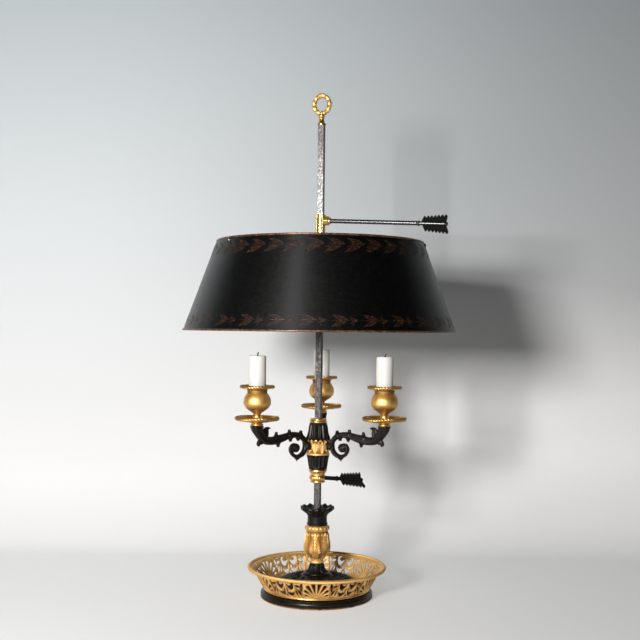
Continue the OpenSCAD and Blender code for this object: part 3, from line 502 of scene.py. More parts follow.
def joined(*parts):
    """Several sets of points, faces and marks as one."""
    faces, start = [], 0
    for p in parts:
        faces += [[k + start for k in face] for face in p[1]]
        start += len(p[0])
    size = {k: np.asarray(p[2][k]).shape[1:] for p in parts for k in p[2]}
    marks = {k: np.concatenate([np.asarray(p[2].get(k, np.zeros((len(p[0]), *size[k]))))
                                for p in parts]) for k in sorted(size)}
    return np.concatenate([np.asarray(p[0], float) for p in parts]), faces, marks


def moved(part, shift=(0, 0, 0), degrees=0):
    """A part turned about the lamp's axis, then shifted by (x, y, z)."""
    points = turn_z(part[0], degrees) if degrees else np.asarray(part[0])
    return points + np.array(shift, float), part[1], part[2]


print("lathe ready")

# %% [markdown]
# ## The base: plinth, leafed dome and foot
# The plinth is plain and turned: a rounded edge over a worn line of bare metal at the table.
# The dome inside the tray is chased with sixteen acanthus leaves that run to the rim, and the
# black foot above it is a short flared neck with leaves over a polished ring. Sculpting them
# by hand would be slow and uneven, so one function draws a leaf as a height over its length
# and width, and `lathe` wraps it round.

# %% A carved leaf as a height
def leaf_height(across, along, lobes=5):
    """Height, 0 to 1, of a chased leaf; across runs -1 to 1, along 0 at the stem to 1."""
    side, v = np.abs(across), np.clip(along, 0, 1)
    half = np.sin(np.pi * v ** 0.8) ** 0.55 * (
        0.84 + 0.14 * np.cos(2 * np.pi * (lobes * (v - 0.30 * side) + 0.5)))
    edge = np.clip((half - side) / 0.16, 0, 1)
    veins = 0.5 + 0.5 * np.cos(2 * np.pi * lobes * (v - 0.42 * side))
    rib = np.exp(-(side / 0.09) ** 2)
    return edge * (2 - edge) * (0.55 + 0.32 * veins * soft(side, 0.05, 0.3) + 0.35 * rib)


def panels(angle, count, turn=0.0):
    """Where an angle lies in its panel, -1 to 1, for a ring of equal panels."""
    width = FULL / count
    return ((angle - turn + width / 2) % width) / width * 2 - 1


print("a leaf's ridge stands", round(float(leaf_height(0.0, 0.5)), 2))

# %% Plinth, dome and foot
PLINTH_TOP, BORE = 10.5, 3.05


def plinth_marks(angle, r, z, s):
    worn = 0.6 * (1 - soft(z, 1.2, 3.2)) * (r > 70) + 0.3 * bump_at(z, 9.4, 1.2) * (r > 66)
    return -0.25 * bump_at(z, 3.4, 0.7) * (r > 72), bump_at(z, 3.4, 0.9) * (r > 72), worn


plinth = lathe([(61.2, 5.5), (61.2, 0), (73.4, 0), (74.2, 0.8), (74.2, 1.8), (73.2, 2.4),
                (73.4, 3.4)] + arc((69.2, 4.9), 4.9, -12, 80, 12)
               + [(68.8, PLINTH_TOP), (BORE, PLINTH_TOP), (BORE, 5.5)], 256, plinth_marks)
plinth[2]["bare"] = ((1 - soft(plinth[0][:, 2], 1.0, 2.0))
                     * (np.hypot(plinth[0][:, 0], plinth[0][:, 1]) > 72))
piece("plinth_turned", plinth, "black_bronze", "base", "plinth")


def dome_carving(angle, r, z, s):
    leaf = leaf_height(panels(angle, 16), (58 - r) / 36, 4)
    small = leaf_height(panels(angle, 16, math.pi / 16), (61.5 - r) / 15, 3)
    on = soft(z, 14.5, 16.5) * soft(r, 18, 21)
    height = np.maximum(leaf, 0.8 * small * (leaf < 0.25))
    return on * (1.5 * height - 0.9), on * (1 - height), 0.12 * on * soft(height, 0.8, 1)


piece("dome_carved", lathe(
    [(60, PLINTH_TOP), (60, 12)]
    + curve([(63.6, 12), (63.8, 13.4), (61.7, 14.3), (57.2, 17), (50.2, 20.6), (40.7, 24.8),
             (29.3, 27.6), (19.1, 29.5)], 8) + [(BORE, 29.5), (BORE, PLINTH_TOP)],
    400, dome_carving, 1.0), "black_bronze", "base", "base_dome")


def foot_carving(angle, r, z, s):
    leaf = leaf_height(panels(angle, 8), 0.06 + 0.9 * (z - 32.2) / 11, 3)
    on = soft(z, 32, 33) * (1 - soft(z, 42, 43.2)) * (r > 5)
    ring = bump_at(z, 30.8, 1.4) * (r > 15)
    return on * (1.1 * leaf - 0.6), on * (1 - leaf), 0.1 * ring


piece("foot_neck_carved", lathe(
    [(BORE, 29.6)] + arc((16.6, 30.8), 1.3, -80, 80, 10)
    + curve([(15, 32.3), (11.8, 35.4), (9.8, 39.4), (9.3, 43.7)], 8) + [(BORE, 43.7)],
    160, foot_carving, 0.5), "black_bronze", "base", "foot_neck")
print("base carved: plinth, dome and foot")

# %% [markdown]
# ## The gilt baluster
# Above the foot stands a gilt vase. Six broad acanthus leaves are laid against it, with a
# string of beads in the groove between each two, and a burnished ring above and below. The
# leaves come from the same height, turned to the panel's shape; the grooves and rings are
# added to it.

# %% Baluster
def baluster_carving(angle, r, z, s):
    place = panels(angle, 6, math.radians(20))
    side, up = np.abs(place), (z - 50) / 35.5
    leaf = leaf_height(place * 0.98, up, 9)
    leaf = leaf + 0.5 * soft(side, 0.06, 0.2) * (leaf > 0.3) * np.cos(
        2 * np.pi * 8 * (up - 0.5 * side))
    curl = bump_at(np.hypot(place * 7.5, z - 81), 0, 4.6)
    buds = bump_at(np.hypot((side - 0.62) * 9, (z - 82.5) * 1.1), 0, 2.6)
    groove = np.exp(-((side - 1) / 0.08) ** 2)
    beads = np.exp(-((side - 1) / 0.05) ** 2) * (0.5 + 0.5 * np.cos(z * 2.2))
    stipple = 0.10 * np.sin(angle * 96) * np.sin(z * 5.2)
    on = soft(z, 49.5, 52) * (1 - soft(z, 86.2, 87.4)) * (r > 7)
    height = 0.9 * leaf + 0.5 * curl + 0.5 * buds - 0.9 * groove + 0.9 * beads + stipple
    tips = 0.5 + 0.5 * np.cos(angle * 18)
    lip = soft(z, 88.4, 90) * (1 - soft(z, 92.6, 93.4)) * (r > 14)
    return (on * (1.4 * height - 0.7) - 0.6 * lip * tips,
            on * np.clip(1.0 - 1.05 * height, 0, 1) + 0.8 * lip * tips ** 2, 0)


piece("baluster_carved", lathe(
    [(BORE, 43.8)] + arc((7.4, 45.7), 2, -80, 80, 8) + [(8.2, 48.3)]
    + curve([(9.2, 50.8), (13.3, 54.8), (16.6, 60.9), (17.1, 65.9), (16.4, 72.5), (15, 79),
             (14.4, 85.1)], 10)
    + arc((13.9, 90.8), 2.8, -60, 80, 12) + [(13.05, 94.2), (13.05, 91.3), (BORE, 91.3)],
    324, baluster_carving, 0.55), "gilt_bronze", "base", "baluster")
print("baluster carved")

# %% [markdown]
# ## The crown that holds the rod
# A black neck with one ring opens into a crown of twelve lobes, each curled over and tipped
# with a ball. The neck is turned. The rim's lobes are the same outline with its height and
# lean waved twelve times, and the ball tips are instances, set by Geometry Nodes later on.

# %% Crown
LOBES = 12


def crown_carving(angle, r, z, s):
    petal = np.cos(panels(angle, LOBES) * math.pi / 2) ** 0.6
    rim = soft(z, 108, 113) * (r > 9)
    vein = bump_at(panels(angle, LOBES), 0, 0.12)
    ring = bump_at(z, 96.2, 0.9) * (r > 12)
    return rim * (1.1 * petal - 0.9 + 0.3 * vein), rim * (1 - petal), 0.5 * rim * vein + 0.4 * ring


crown = lathe(
    [(BORE, 91.4), (12.95, 91.3), (12.95, 94.5), (13.9, 95.5), (13.9, 96.9), (12.95, 97.9)]
    + curve([(12.9, 105.6), (13.4, 107.2), (15.6, 110.4), (18.8, 112.6), (21.4, 115),
             (21.9, 116.8), (21.4, 118.4)], 6)
    + curve([(19.6, 119.2), (17, 118.0), (12.6, 116.2), (8.2, 115.2)], 6) + [(BORE, 115.2)],
    288, crown_carving, 0.6)
x, y, z = crown[0].T
petal = 1 - np.abs(panels(np.arctan2(y, x), LOBES)) ** 1.5
crown[0][:, 2] -= 1.3 * (1 - petal) * soft(z, 114, 118.5)
piece("crown_carved", crown, "black_bronze", "base", "crown")
print("crown carved")

# %% [markdown]
# ## The rod
# The rod is a square iron bar, set a little askew so that a narrow side shows. A forged and
# filed bar has broken edges and a faint wave, so it is drawn as a ring of points with small
# chamfers, repeated up its length and nudged by a seeded random wave.

# %% Rod with broken edges
def square_bar(half, chamfer, low, high, steps, wave, seed):
    """A square bar with broken edges between two heights."""
    ring = []
    for a in (math.pi / 2 * k for k in range(4)):
        for x, y in ((half, -half + chamfer), (half, half - chamfer)):
            ring.append((x * math.cos(a) - y * math.sin(a), x * math.sin(a) + y * math.cos(a)))
    random = np.random.default_rng(seed)
    nudge = random.normal(0, wave, (steps + 1, 1, 2)).cumsum(0) * 0.25
    nudge -= np.linspace(0, 1, steps + 1)[:, None, None] * nudge[-1]
    points = np.zeros((steps + 1, 8, 3))
    points[..., :2] = np.array(ring) + nudge
    points[..., 2] = np.linspace(low, high, steps + 1)[:, None]
    return points.reshape(-1, 3), skin(steps + 1, 8, caps=True), {}


piece("rod_forged", moved(square_bar(4.0, 0.35, 95.3, 624.6, 90, 0.04, 5), degrees=ROD_TURN),
      "iron", "base", "rod", sharp=25)
print("rod forged, 8 mm square")

# %% [markdown]
# ## Growing what repeats
# A rope of three strands, a ring of balls, a border of painted leaves and a laurel ring all
# repeat one small form. Geometry Nodes make them: a tree takes the small form and a few
# numbers and sets the copies. Each tree is built once here with named inputs. A grown piece
# is then turned into a plain mesh, so that nothing live is left to go wrong.

# %% Geometry Nodes helpers
class Tree(Kit):
    """A Geometry Nodes tree with named inputs, ending in real geometry with a material."""

    def __init__(self, name, **inputs):
        super().__init__(bpy.data.node_groups.new(name, "GeometryNodeTree"))
        kinds = {**inputs, "Material": "Material"}
        for label, kind in kinds.items():
            self.tree.interface.new_socket(label, in_out="INPUT",
                                           socket_type="NodeSocket" + kind)
        self.tree.interface.new_socket("Geometry", in_out="OUTPUT",
                                       socket_type="NodeSocketGeometry")
        entry = self.tree.nodes.new("NodeGroupInput")
        self.given = {label: Wire(self, entry.outputs[label]) for label in kinds}

    def geo(self, kind, inputs=None, output=0, **settings):
        return self.add("GeometryNode" + kind, inputs, output, **settings)

    def vector(self, x=0.0, y=0.0, z=0.0):
        return self.add("ShaderNodeCombineXYZ", {"X": x, "Y": y, "Z": z})

    def chance(self):
        """A seeded number from -1 to 1 for each point."""
        return self.add("FunctionNodeRandomValue",
                        {2: -1.0, 3: 1.0, "Seed": self.given["Seed"]}, 1)

    def copies(self, count, place, turn, size):
        """Copies of the form, one at each place."""
        line = self.geo("MeshLine", {"Count": count})
        spots = self.geo("SetPosition", {"Geometry": line, "Position": place})
        form = self.geo("ObjectInfo", {"Object": self.given["Form"]}, 4)
        return self.geo("InstanceOnPoints", {"Points": spots, "Instance": form, "Rotation": turn,
                                             "Scale": self.vector(size, size, size)})

    def ends(self, geometry):
        real = self.geo("RealizeInstances", {"Geometry": geometry})
        dressed = self.geo("SetMaterial", {"Geometry": real, "Material": self.given["Material"]})
        leave = self.tree.nodes.new("NodeGroupOutput")
        self.tree.links.new(dressed.socket, leave.inputs["Geometry"])
        return self.tree


def grow(name, tree, finish, body, *nodes, sharp=50, **inputs):
    """The mesh that a tree gives with these inputs, as a finished plain piece."""
    holder = bpy.data.objects.new(name + "_holder", bpy.data.meshes.new(name + "_holder"))
    bpy.context.scene.collection.objects.link(holder)
    modifier = holder.modifiers.new("grow", "NODES")
    modifier.node_group = tree
    values = {**inputs, "Material": FINISHES[finish]}
    for item in tree.interface.items_tree:
        if item.in_out == "INPUT":
            modifier[item.identifier] = values[item.name]
    holder.update_tag()
    seen = holder.evaluated_get(bpy.context.evaluated_depsgraph_get())
    mesh = bpy.data.meshes.new_from_object(seen)
    bpy.data.objects.remove(holder)
    mesh.name = name
    settle(smoothed(name, mesh, sharp), finish, body, nodes)


print("Geometry Nodes helpers ready")


# %% A twisted rope, and copies round a ring
def rope_tree():
    """Strands that twist round a ring. Each is a circle whose points are moved out from the
    ring's line at an angle that turns many times on the way round."""
    t = Tree("rope", Radius="Float", Height="Float", Strand="Float", Offset="Float",
             Turns="Float", Steps="Int")
    radius, height, offset, steps = (t.given[k] for k in ("Radius", "Height", "Offset", "Steps"))
    join = t.tree.nodes.new("GeometryNodeJoinGeometry")
    for number in range(3):
        way = t.geo("InputIndex") / steps * FULL
        twist = way * t.given["Turns"] + FULL / 3 * number
        out = radius + offset * twist.of("COSINE")
        place = t.vector(out * way.of("COSINE"), out * way.of("SINE"),
                         height + offset * twist.of("SINE"))
        ring = t.geo("CurvePrimitiveCircle", {"Resolution": steps, "Radius": 1.0})
        line = t.geo("SetPosition", {"Geometry": ring, "Position": place})
        section = t.geo("CurvePrimitiveCircle", {"Resolution": 9, "Radius": t.given["Strand"]})
        strand = t.geo("CurveToMesh", {"Curve": line, "Profile Curve": section})
        t.tree.links.new(strand.socket, join.inputs[0])
    x, y, z = (t.axis(t.geo("InputPosition"), k) for k in range(3))
    out, up = (x * x + y * y).of("SQRT") - radius, z - height
    deep = (out * out + up * up).of("SQRT") / offset
    # The strands' inner sides, where they press together, are marked for painted shade.
    return t.ends(t.geo("StoreNamedAttribute", {
        "Geometry": Wire(t, join.outputs[0]), "Name": "cavity",
        "Value": ((1.86 - deep) * 2.6).clamped()}, data_type="FLOAT", domain="POINT"))


def ring_tree():
    """Copies of a form round a ring, each turned to face outwards. They lean and differ in
    size and turn by a seeded chance."""
    t = Tree("ring", Form="Object", Count="Int", Radius="Float", Height="Float", First="Float",
             Lean="Float", Size="Float", Chance="Float", Seed="Int")
    way = t.given["First"] + t.geo("InputIndex") / t.given["Count"] * FULL
    place = t.vector(t.given["Radius"] * way.of("COSINE"), t.given["Radius"] * way.of("SINE"),
                     t.given["Height"])
    chance = t.chance() * t.given["Chance"]
    return t.ends(t.copies(t.given["Count"], place,
                           t.vector(chance * 0.6, t.given["Lean"], way),
                           t.given["Size"] * (1 + chance)))


ROPE, RING = rope_tree(), ring_tree()
print("trees:", ROPE.name, RING.name)

# %% [markdown]
# ## The pierced gallery
# The tray's wall is the showpiece. The founder cast it, and the chaser filed every opening
# round. The pattern repeats six times: a palmette of nine ribs, then a pair of scrolls with
# hooked curls. It is drawn flat, as the chaser's template was, and wrapped round the cone.
# To get clean edges, each grid cell that an opening crosses is cut where the distance to the
# opening's line is nought. The same distance rounds the metal towards the openings.

# %% The openings, drawn flat
SLOPE, HALF_REPEAT, REPEATS = 35.0, 42.0, 6
FAN = np.array([0, 4.2])


def leaf_outline(start, end, width, bow=0.0, steps=7,
                 shape=lambda v: math.sin(math.pi * v ** 1.4)):
    """A leaf between two points, bowed sideways. Its shape is its width along its length; the
    plain one is pointed and widest near its tip."""
    p, d = np.array(start, float), np.array(end, float) - np.array(start, float)
    side = np.array([-d[1], d[0]]) / np.linalg.norm(d)
    shares = [(1, v) for v in np.linspace(0, 1, steps)]
    shares += [(-1, v) for v in np.linspace(1, 0, steps)[1:-1]]
    return [p + d * v + side * (4 * bow * v * (1 - v) + sign * width / 2 * shape(v))
            for sign, v in shares]


def fan_slot(lean, reach, width):
    """A slot between two ribs of a palmette."""
    a = math.radians(lean)
    along, across = np.array([math.sin(a), math.cos(a)]), np.array([math.cos(a), -math.sin(a)])
    end = FAN + along * (reach - 0.4 * width)
    tip = [end + across * (width / 2 * math.cos(b)) + along * (0.4 * width * math.sin(b))
           for b in np.linspace(0, math.pi, 7)]
    return [FAN + along * 9.5 + across * 0.4, *tip, FAN + along * 9.5 - across * 0.4]


def loop(points, steps=4):
    """A smooth closed outline through the points."""
    p = [np.array(q, float) for q in points]
    n = len(p)
    return [0.5 * (2 * p[i] + (p[(i + 1) % n] - p[i - 1]) * t
                   + (2 * p[i - 1] - 5 * p[i] + 4 * p[(i + 1) % n] - p[(i + 2) % n]) * t * t
                   + (3 * p[i] - p[i - 1] - 3 * p[(i + 1) % n] + p[(i + 2) % n]) * t ** 3)
            for i in range(n) for t in np.arange(steps) / steps]


def mirrored(outlines):
    return [[(-p[0], p[1]) for p in outline] for outline in outlines]


def shifted(outlines, by):
    return [[(p[0] + by, p[1]) for p in outline] for outline in outlines]


palmette = [fan_slot(10, 25, 4.8), fan_slot(30, 24, 4.8), fan_slot(50, 20.6, 4.4),
            fan_slot(70, 17, 3.6), leaf_outline((20.2, 10.8), (18, 28.8), 4.2, -1),
            leaf_outline((20, 19.4), (28.2, 24.4), 4.4, 0.5),
            leaf_outline((20.2, 29.6), (27.4, 28.4), 2.4, -0.4),
            leaf_outline((27.2, 20), (19.8, 7.2), 3.6, -0.8),
            leaf_outline((27.2, 19.4), (25, 7.2), 2.6, 0.5), leaf_outline((21.2, 5), (26, 5.4), 2)]
curl = [(12, 25.6), (11, 28.8), (8.4, 29.8), (6, 28.8), (5, 26.8), (7, 27.6), (8.7, 26.2),
        (7.8, 23.8), (5.2, 23), (2.8, 24.8), (1.4, 24.2), (3.6, 19.2), (6.6, 16.4), (9.4, 17),
        (11.7, 20.4)]
cup = [(12.2, 14.6), (11.4, 10), (8.4, 6.2), (4.2, 6.4), (1.7, 10.4), (1, 17.6), (2.2, 18.2),
       (3.6, 12.8), (4.6, 12), (5.7, 13.8), (7, 11.4), (8.3, 13.2), (9.6, 11.6), (10.8, 13.8)]
scroll = shifted([loop(curl), loop(cup), leaf_outline((1.5, 29.6), (4.4, 28.6), 1.8)],
                 -HALF_REPEAT)
drop = [leaf_outline((0, 10.8), (0, 4.4), 3.4)]
openings = (palmette + mirrored(palmette) + scroll + mirrored(scroll)
            + shifted(drop, -HALF_REPEAT) + shifted(drop, HALF_REPEAT))
print(len(openings), "openings in one repeat")


# %% Distances to lines, and a grid cut along the openings
def near_line(points, u, v, closed=True):
    """Distance to a line of points, and whether a closed line goes round the place."""
    best, inside = np.full(u.shape, 9.0), np.zeros(u.shape, bool)
    p = np.array(points, float)
    pairs = list(zip(p, np.roll(p, -1, 0)))
    for a, b in pairs if closed else pairs[:-1]:
        d = b - a
        t = np.clip(((u - a[0]) * d[0] + (v - a[1]) * d[1]) / max(d @ d, 1e-9), 0, 1)
        best = np.minimum(best, np.hypot(u - a[0] - t * d[0], v - a[1] - t * d[1]))
        rise = d[1] if abs(d[1]) > 1e-9 else 1e-9
        inside ^= ((a[1] > v) != (b[1] > v)) & (u < a[0] + (v - a[1]) * d[0] / rise)
    return best, inside


def cut_grid(field):
    """Cells of a ring-shaped grid cut where the field is nought. Gives the places (row and
    column, with parts of a cell), the faces and the edges that border an opening."""
    rows, columns = field.shape[0] - 1, field.shape[1]
    places, index, faces, rims = [], {}, [], []

    def at(key, row, column):
        if key not in index:
            index[key] = len(places)
            places.append((row, column))
        return index[key]

    for i in range(rows):
        for j in range(columns):
            ring = [(i, j), (i, j + 1), (i + 1, j + 1), (i + 1, j)]
            values = [field[a, b % columns] for a, b in ring]
            if max(values) <= 0:
                continue
            face = []
            for k in range(4):
                (a, b), (c, d) = ring[k], ring[(k + 1) % 4]
                s, t = values[k], values[(k + 1) % 4]
                if s > 0:
                    face.append((at((a, b % columns), a, b), "corner"))
                if (s > 0) != (t > 0):
                    ends = sorted([(a, b % columns), (c, d % columns)])
                    share = s / (s - t)
                    spot = at(tuple(ends), a + (c - a) * share, b + (d - b) * share)
                    face.append((spot, "leave" if s > 0 else "enter"))
            faces.append([spot for spot, kind in face])
            rims += [(spot, face[(k + 1) % len(face)][0])
                     for k, (spot, kind) in enumerate(face) if kind == "leave"]
    return np.array(places), faces, rims


print("grid cutter ready")

# %% The gallery's wall
RIM_RADIUS, ROPE_LEVEL = 89.4, 38.9
WALL_ROWS, WALL_COLUMNS = 54, 120
wall_line = np.array(curve([(66.8, 12), (72.4, 17.5), (76.6, 24.5), (80.4, 32.1), (83, 36.3),
                            (88.6, 38.5)], 12))
veins = [[(28.6, 22), (24, 18.4), (20, 13)], [(41, 20.5), (38.6, 17), (35.5, 14.6)],
         [(28.8, 29), (28.1, 20), (29.1, 9), (33, 4.6)],
         [(41, 27), (38, 25), (35, 25.4), (34.4, 26.6)], [(17.8, 5), (18.3, 14), (17, 22)]]


def rounding(edge):
    """How far the metal has swelled at a distance from an opening, 0 to 1."""
    return 1 - (1 - np.clip(edge / 1.5, 0, 1)) ** 2


def wall_relief(u, v, edge):
    """Lift of the wall's outer face, and where shade is painted in its hollows, from the place and
    the distance to the nearest opening."""
    field = soft(v, 2.6, 4.2) * (1 - soft(v, 29.6, 30.8))
    grooves = np.zeros(u.shape)
    for vein in veins:
        near = near_line(vein, np.abs(u), v, closed=False)[0]
        grooves = np.maximum(grooves, np.exp(-(near / 0.45) ** 2))
    from_fan = np.hypot(u, v - FAN[1])
    ribs = 0.5 + 0.5 * np.cos(np.degrees(np.arctan2(u, v - FAN[1])) / 20 * 2 * np.pi)
    on_fan = soft(from_fan, 5.2, 6.4) * (1 - soft(from_fan, 20, 24)) * (np.abs(u) < 21)
    lift = (0.30 + 0.75 * np.sqrt(rounding(edge)) + 0.7 * bump_at(v, 1.3, 1.3)
            + field * (0.35 * on_fan * ribs - 0.5 * grooves + 0.9 * bump_at(from_fan, 0, 4.4)))
    return lift, field * np.clip(1.0 - soft(edge, 0.2, 1.1) + grooves
                                 + 0.5 * on_fan * (1 - ribs), 0, 1)


def gallery_wall():
    u_grid, v_grid = np.meshgrid(np.arange(WALL_COLUMNS) / WALL_COLUMNS * 2 * HALF_REPEAT
                                 - HALF_REPEAT, np.linspace(0, SLOPE, WALL_ROWS + 1))
    edge, inside = np.full(u_grid.shape, 9.0), np.zeros(u_grid.shape, bool)
    for hole in openings:
        near, within = near_line(hole, u_grid, v_grid)
        edge, inside = np.minimum(edge, near), inside | within
    edge = np.tile(np.where(inside, -edge, edge) + 0.28, (1, REPEATS))
    columns = edge.shape[1]
    places, faces, rims = cut_grid(edge)
    row, column = places.T
    i, j = np.floor(row).astype(int), np.floor(column).astype(int)
    i2, j2 = np.minimum(i + 1, WALL_ROWS), (j + 1) % columns
    x, y, j = row - i, column - j, j % columns
    near = np.maximum((edge[i, j] * (1 - x) + edge[i2, j] * x) * (1 - y)
                      + (edge[i, j2] * (1 - x) + edge[i2, j2] * x) * y, 0)
    near[(x > 0) | (y > 0)] = 0
    u = (column % WALL_COLUMNS) / WALL_COLUMNS * 2 * HALF_REPEAT - HALF_REPEAT
    v = row / WALL_ROWS * SLOPE
    lift, shaded_hollow = wall_relief(u, v, near)
    share = lengths(wall_line) / lengths(wall_line)[-1] * SLOPE
    slope = np.gradient(wall_line, axis=0)
    slope /= np.linalg.norm(slope, axis=1)[:, None]
    spot, run = (np.stack([np.interp(v, share, of[:, k]) for k in (0, 1)], -1)
                 for of in (wall_line, slope))
    out = np.stack([run[:, 1], -run[:, 0]], -1)
    angle = np.radians(-90 - 30) + column / WALL_COLUMNS * math.radians(360 / REPEATS)
    sides = []
    for height in (lift, -0.25 - 0.55 * rounding(near)):
        p = spot + out * height[:, None]
        sides.append(np.stack([p[:, 0] * np.cos(angle), p[:, 0] * np.sin(angle), p[:, 1]], -1))
    n = len(places)
    faces += [[k + n for k in face][::-1] for face in faces]
    faces += [[b, a, a + n, b + n] for a, b in rims]
    known = {(r, c % columns): k for k, (r, c) in enumerate(places.tolist())
             if r in (0, WALL_ROWS)}
    for end in (0, WALL_ROWS):
        for c in range(columns):
            a, b = known[(end, c)], known[(end, (c + 1) % columns)]
            faces.append([b, a, a + n, b + n] if end == 0 else [a, b, b + n, a + n])
    # The inner face gets half that painted shade, and a little more all over.
    return (np.concatenate(sides), faces,
            {"cavity": np.concatenate([shaded_hollow, 0.5 * shaded_hollow + 0.15])})


gallery = joined(gallery_wall(), lathe([(60.1, 10.5), (67.6, 10.5), (67.6, 12.3), (64.6, 12.3),
                                        (60.1, 12)], 192, None, 3))
piece("gallery_pierced", gallery, "gilt_bronze", "base", "gallery", sharp=55)
piece("gallery_foot_bead", lathe(arc((69.3, 12.1), 1.25, 0, 330, 11), 240), "burnished", "base")
grow("rope_rim", ROPE, "gilt_bronze", "base", "gallery_rope_rim", Radius=RIM_RADIUS * MM,
     Height=ROPE_LEVEL * MM, Strand=1.22 * MM, Offset=1.18 * MM, Turns=58.0, Steps=1044)
print("gallery:", len(gallery[0]), "points and a rope of three strands")

# %% Ball tips of the crown
def ball(radius, count=20, rings=11):
    """A round ball from a turned half circle."""
    half = [(radius * math.sin(a), -radius * math.cos(a)) for a in np.linspace(0, math.pi, rings)]
    half[0], half[-1] = (0, -radius), (0, radius)
    return lathe(half, count, None, 99)


grow("crown_balls", RING, "black_bronze", "base", Form=form("ball", *ball(1.0)[:2]),
     Count=LOBES, Radius=20.4 * MM, Height=118.3 * MM, First=0.0, Lean=0.0, Size=1.7,
     Chance=0.02, Seed=3)
print("crown tipped with", LOBES, "balls")

# %% [markdown]
# ## The hub
# The branches meet in a hub that slides on the rod: a gilt collar that takes the lower key, a
# fluted black bell, a gilt band chased with foliage, a second bell and a top collar. Each is
# turned on a lathe and then chased, so each is one outline with its own carving. The bells'
# flutes end in leaf tips that lie over the gilt band.

# %% Hub
HUB, LOW_BELL, BAND, HIGH_BELL, TOP_COLLAR, HUB_TOP = 150.4, 168.7, 187.3, 208.7, 229.7, 235.3
SLEEVE, FLUTES = 7.05, 16


def collar_marks(angle, r, z, s):
    dashes = soft(np.cos(26 * angle), 0.1, 0.6) * bump_at(z, 157.2, 1.9) * (r > 9)
    line = bump_at(z, 160.2, 0.5) + bump_at(z, 165.2, 0.5)
    return -0.4 * dashes - 0.3 * line * (r > 8), 0.8 * dashes + 0.7 * line, 0


piece("hub_collar_turned", lathe(
    [(SLEEVE, HUB)]
    + curve([(8.1, HUB), (9.6, 150.9), (10, 152.2), (9.4, 153.4), (10.4, 154.6), (11.3, 156.6),
             (11.1, 158.6), (9.9, 160.2), (9.7, 162), (10.6, 164), (12, 165.4), (12.2, 166.6),
             (12, 167.8), (11.4, LOW_BELL)], 5) + [(SLEEVE, LOW_BELL)],
    156, collar_marks, 0.5), "burnished", "branches", "hub_bottom_collar")


def bell(outline, flute_low, flute_high, tip_at, tip_end):
    """A fluted bell. Between tip_at and tip_end the outline is drawn out into leaf tips."""
    def fluted(angle, r, z, s):
        flute = np.cos(panels(angle, FLUTES) * math.pi / 2) ** 1.4
        on = soft(z, flute_low - 0.8, flute_low + 1.6) * (r > 8) * (
            1 - soft(z, flute_high - 1.6, flute_high + 0.8))
        return on * (0.35 - 1.5 * flute), 0.9 * on * flute, on * (1 - flute) ** 2
    points, faces, marks = lathe(outline, 16 * FLUTES, fluted, 0.6)
    x, y, z = points.T
    r, angle = np.hypot(x, y), np.arctan2(y, x)
    share = np.clip((z - tip_at) / (tip_end - tip_at), 0, 1) * (r > 9)
    tip = 1 - np.abs(panels(angle, FLUTES)) ** 1.3
    points[:, 2] += (tip_end - tip_at) * 0.62 * tip * share
    points[:, :2] *= (1 + 1.3 * share ** 2 / np.maximum(r, 1))[:, None]
    marks["wear"] = np.maximum(marks["wear"] * 0.8, soft(share, 0.55, 1) * (r > 12))
    return points, faces, marks


piece("hub_low_bell_fluted", bell(
    [(SLEEVE, LOW_BELL), (11.9, LOW_BELL), (12.5, 169.5), (12.1, 170.4)]
    + curve([(12.2, 171), (12.9, 176), (13.7, 181.6), (14.3, 186.2)], 6)
    + [(13.7, 187.2), (SLEEVE, BAND)], 171.4, 186, 182.6, 186.8),
    "black_bronze", "branches", "hub_lower_bell")
piece("hub_high_bell_fluted", bell(
    [(SLEEVE, HIGH_BELL), (14.4, 208.8)]
    + curve([(15.3, 209.8), (15, 211.6), (14.2, 214.2), (13.3, 218.4), (12.4, 224.4),
             (11.5, 228.2)], 6) + [(11.9, 229), (11.6, 229.7), (SLEEVE, TOP_COLLAR)],
    210.2, 228, 214, 209.4), "black_bronze", "branches", "hub_upper_bell")


def band_carving(angle, r, z, s):
    leaf = leaf_height(panels(angle, 9, math.radians(14)) * 1.15, (z - 190.4) / 14.6, 4)
    small = leaf_height(panels(angle, 9, math.radians(34)) * 1.6, (205.4 - z) / 10, 3)
    on = soft(z, 189.8, 191) * (1 - soft(z, 205, 206.2)) * (r > 9)
    height = np.maximum(leaf, 0.75 * small)
    return on * (1.5 * height - 0.4), on * np.clip(1.1 - 1.2 * height, 0, 1), 0


band = lathe([(SLEEVE, BAND)] + arc((14.3, 188.7), 1.3, -90, 60, 8)
             + curve([(13.8, 191.5), (13.2, 194.3), (13.2, 201.7), (13.8, 204.5)], 6)
             + arc((14.3, 207.3), 1.3, -60, 90, 8) + [(SLEEVE, HIGH_BELL)],
             288, band_carving, 0.5)
studs = [moved(ball(1.05, 12, 7), turn_z([14.6, y, 199.7 + z], angle))
         for angle in ARM_ANGLES.values() for y in (-5.4, 5.4) for z in (-5.6, 5.6)]
piece("hub_band_chased", joined(band, *studs), "gilt_bronze", "branches", "hub_band")


def top_marks(angle, r, z, s):
    line = bump_at(z, 232.6, 0.45) * (r > 9)
    return -0.25 * line, 0.8 * line, 0


piece("hub_top_collar_turned", lathe(
    [(SLEEVE, TOP_COLLAR), (10.8, TOP_COLLAR)] + arc((10.2, 231.4), 1.3, -50, 50, 6)
    + [(10.5, 232.7)] + arc((10.4, 234.1), 1, -40, 90, 6) + [(SLEEVE, HUB_TOP)],
    128, top_marks, 0.5), "burnished", "branches", "hub_top_collar")
print("hub turned, with", 2 * FLUTES, "flutes and", len(studs), "studs")

# %% [markdown]
# ## The scroll arms
# Each arm was cast in black bronze: a cup under the candle runs down into an S, curls round a
# disc at the hub and carries thorn-like buds, a horn leaf and a lower curl. Its sides have
# two raised ridges that are rubbed brown. The arm's line is the CAD model's, drawn in the
# arm's own plane; a tube with a ridged section follows it.

# %% Arm helpers
ARM_ROOT, ROOT_LEVEL, CUP_LEVEL = 14.4, 199.7, 229.7
EYE = np.array([35.7, 198.2])


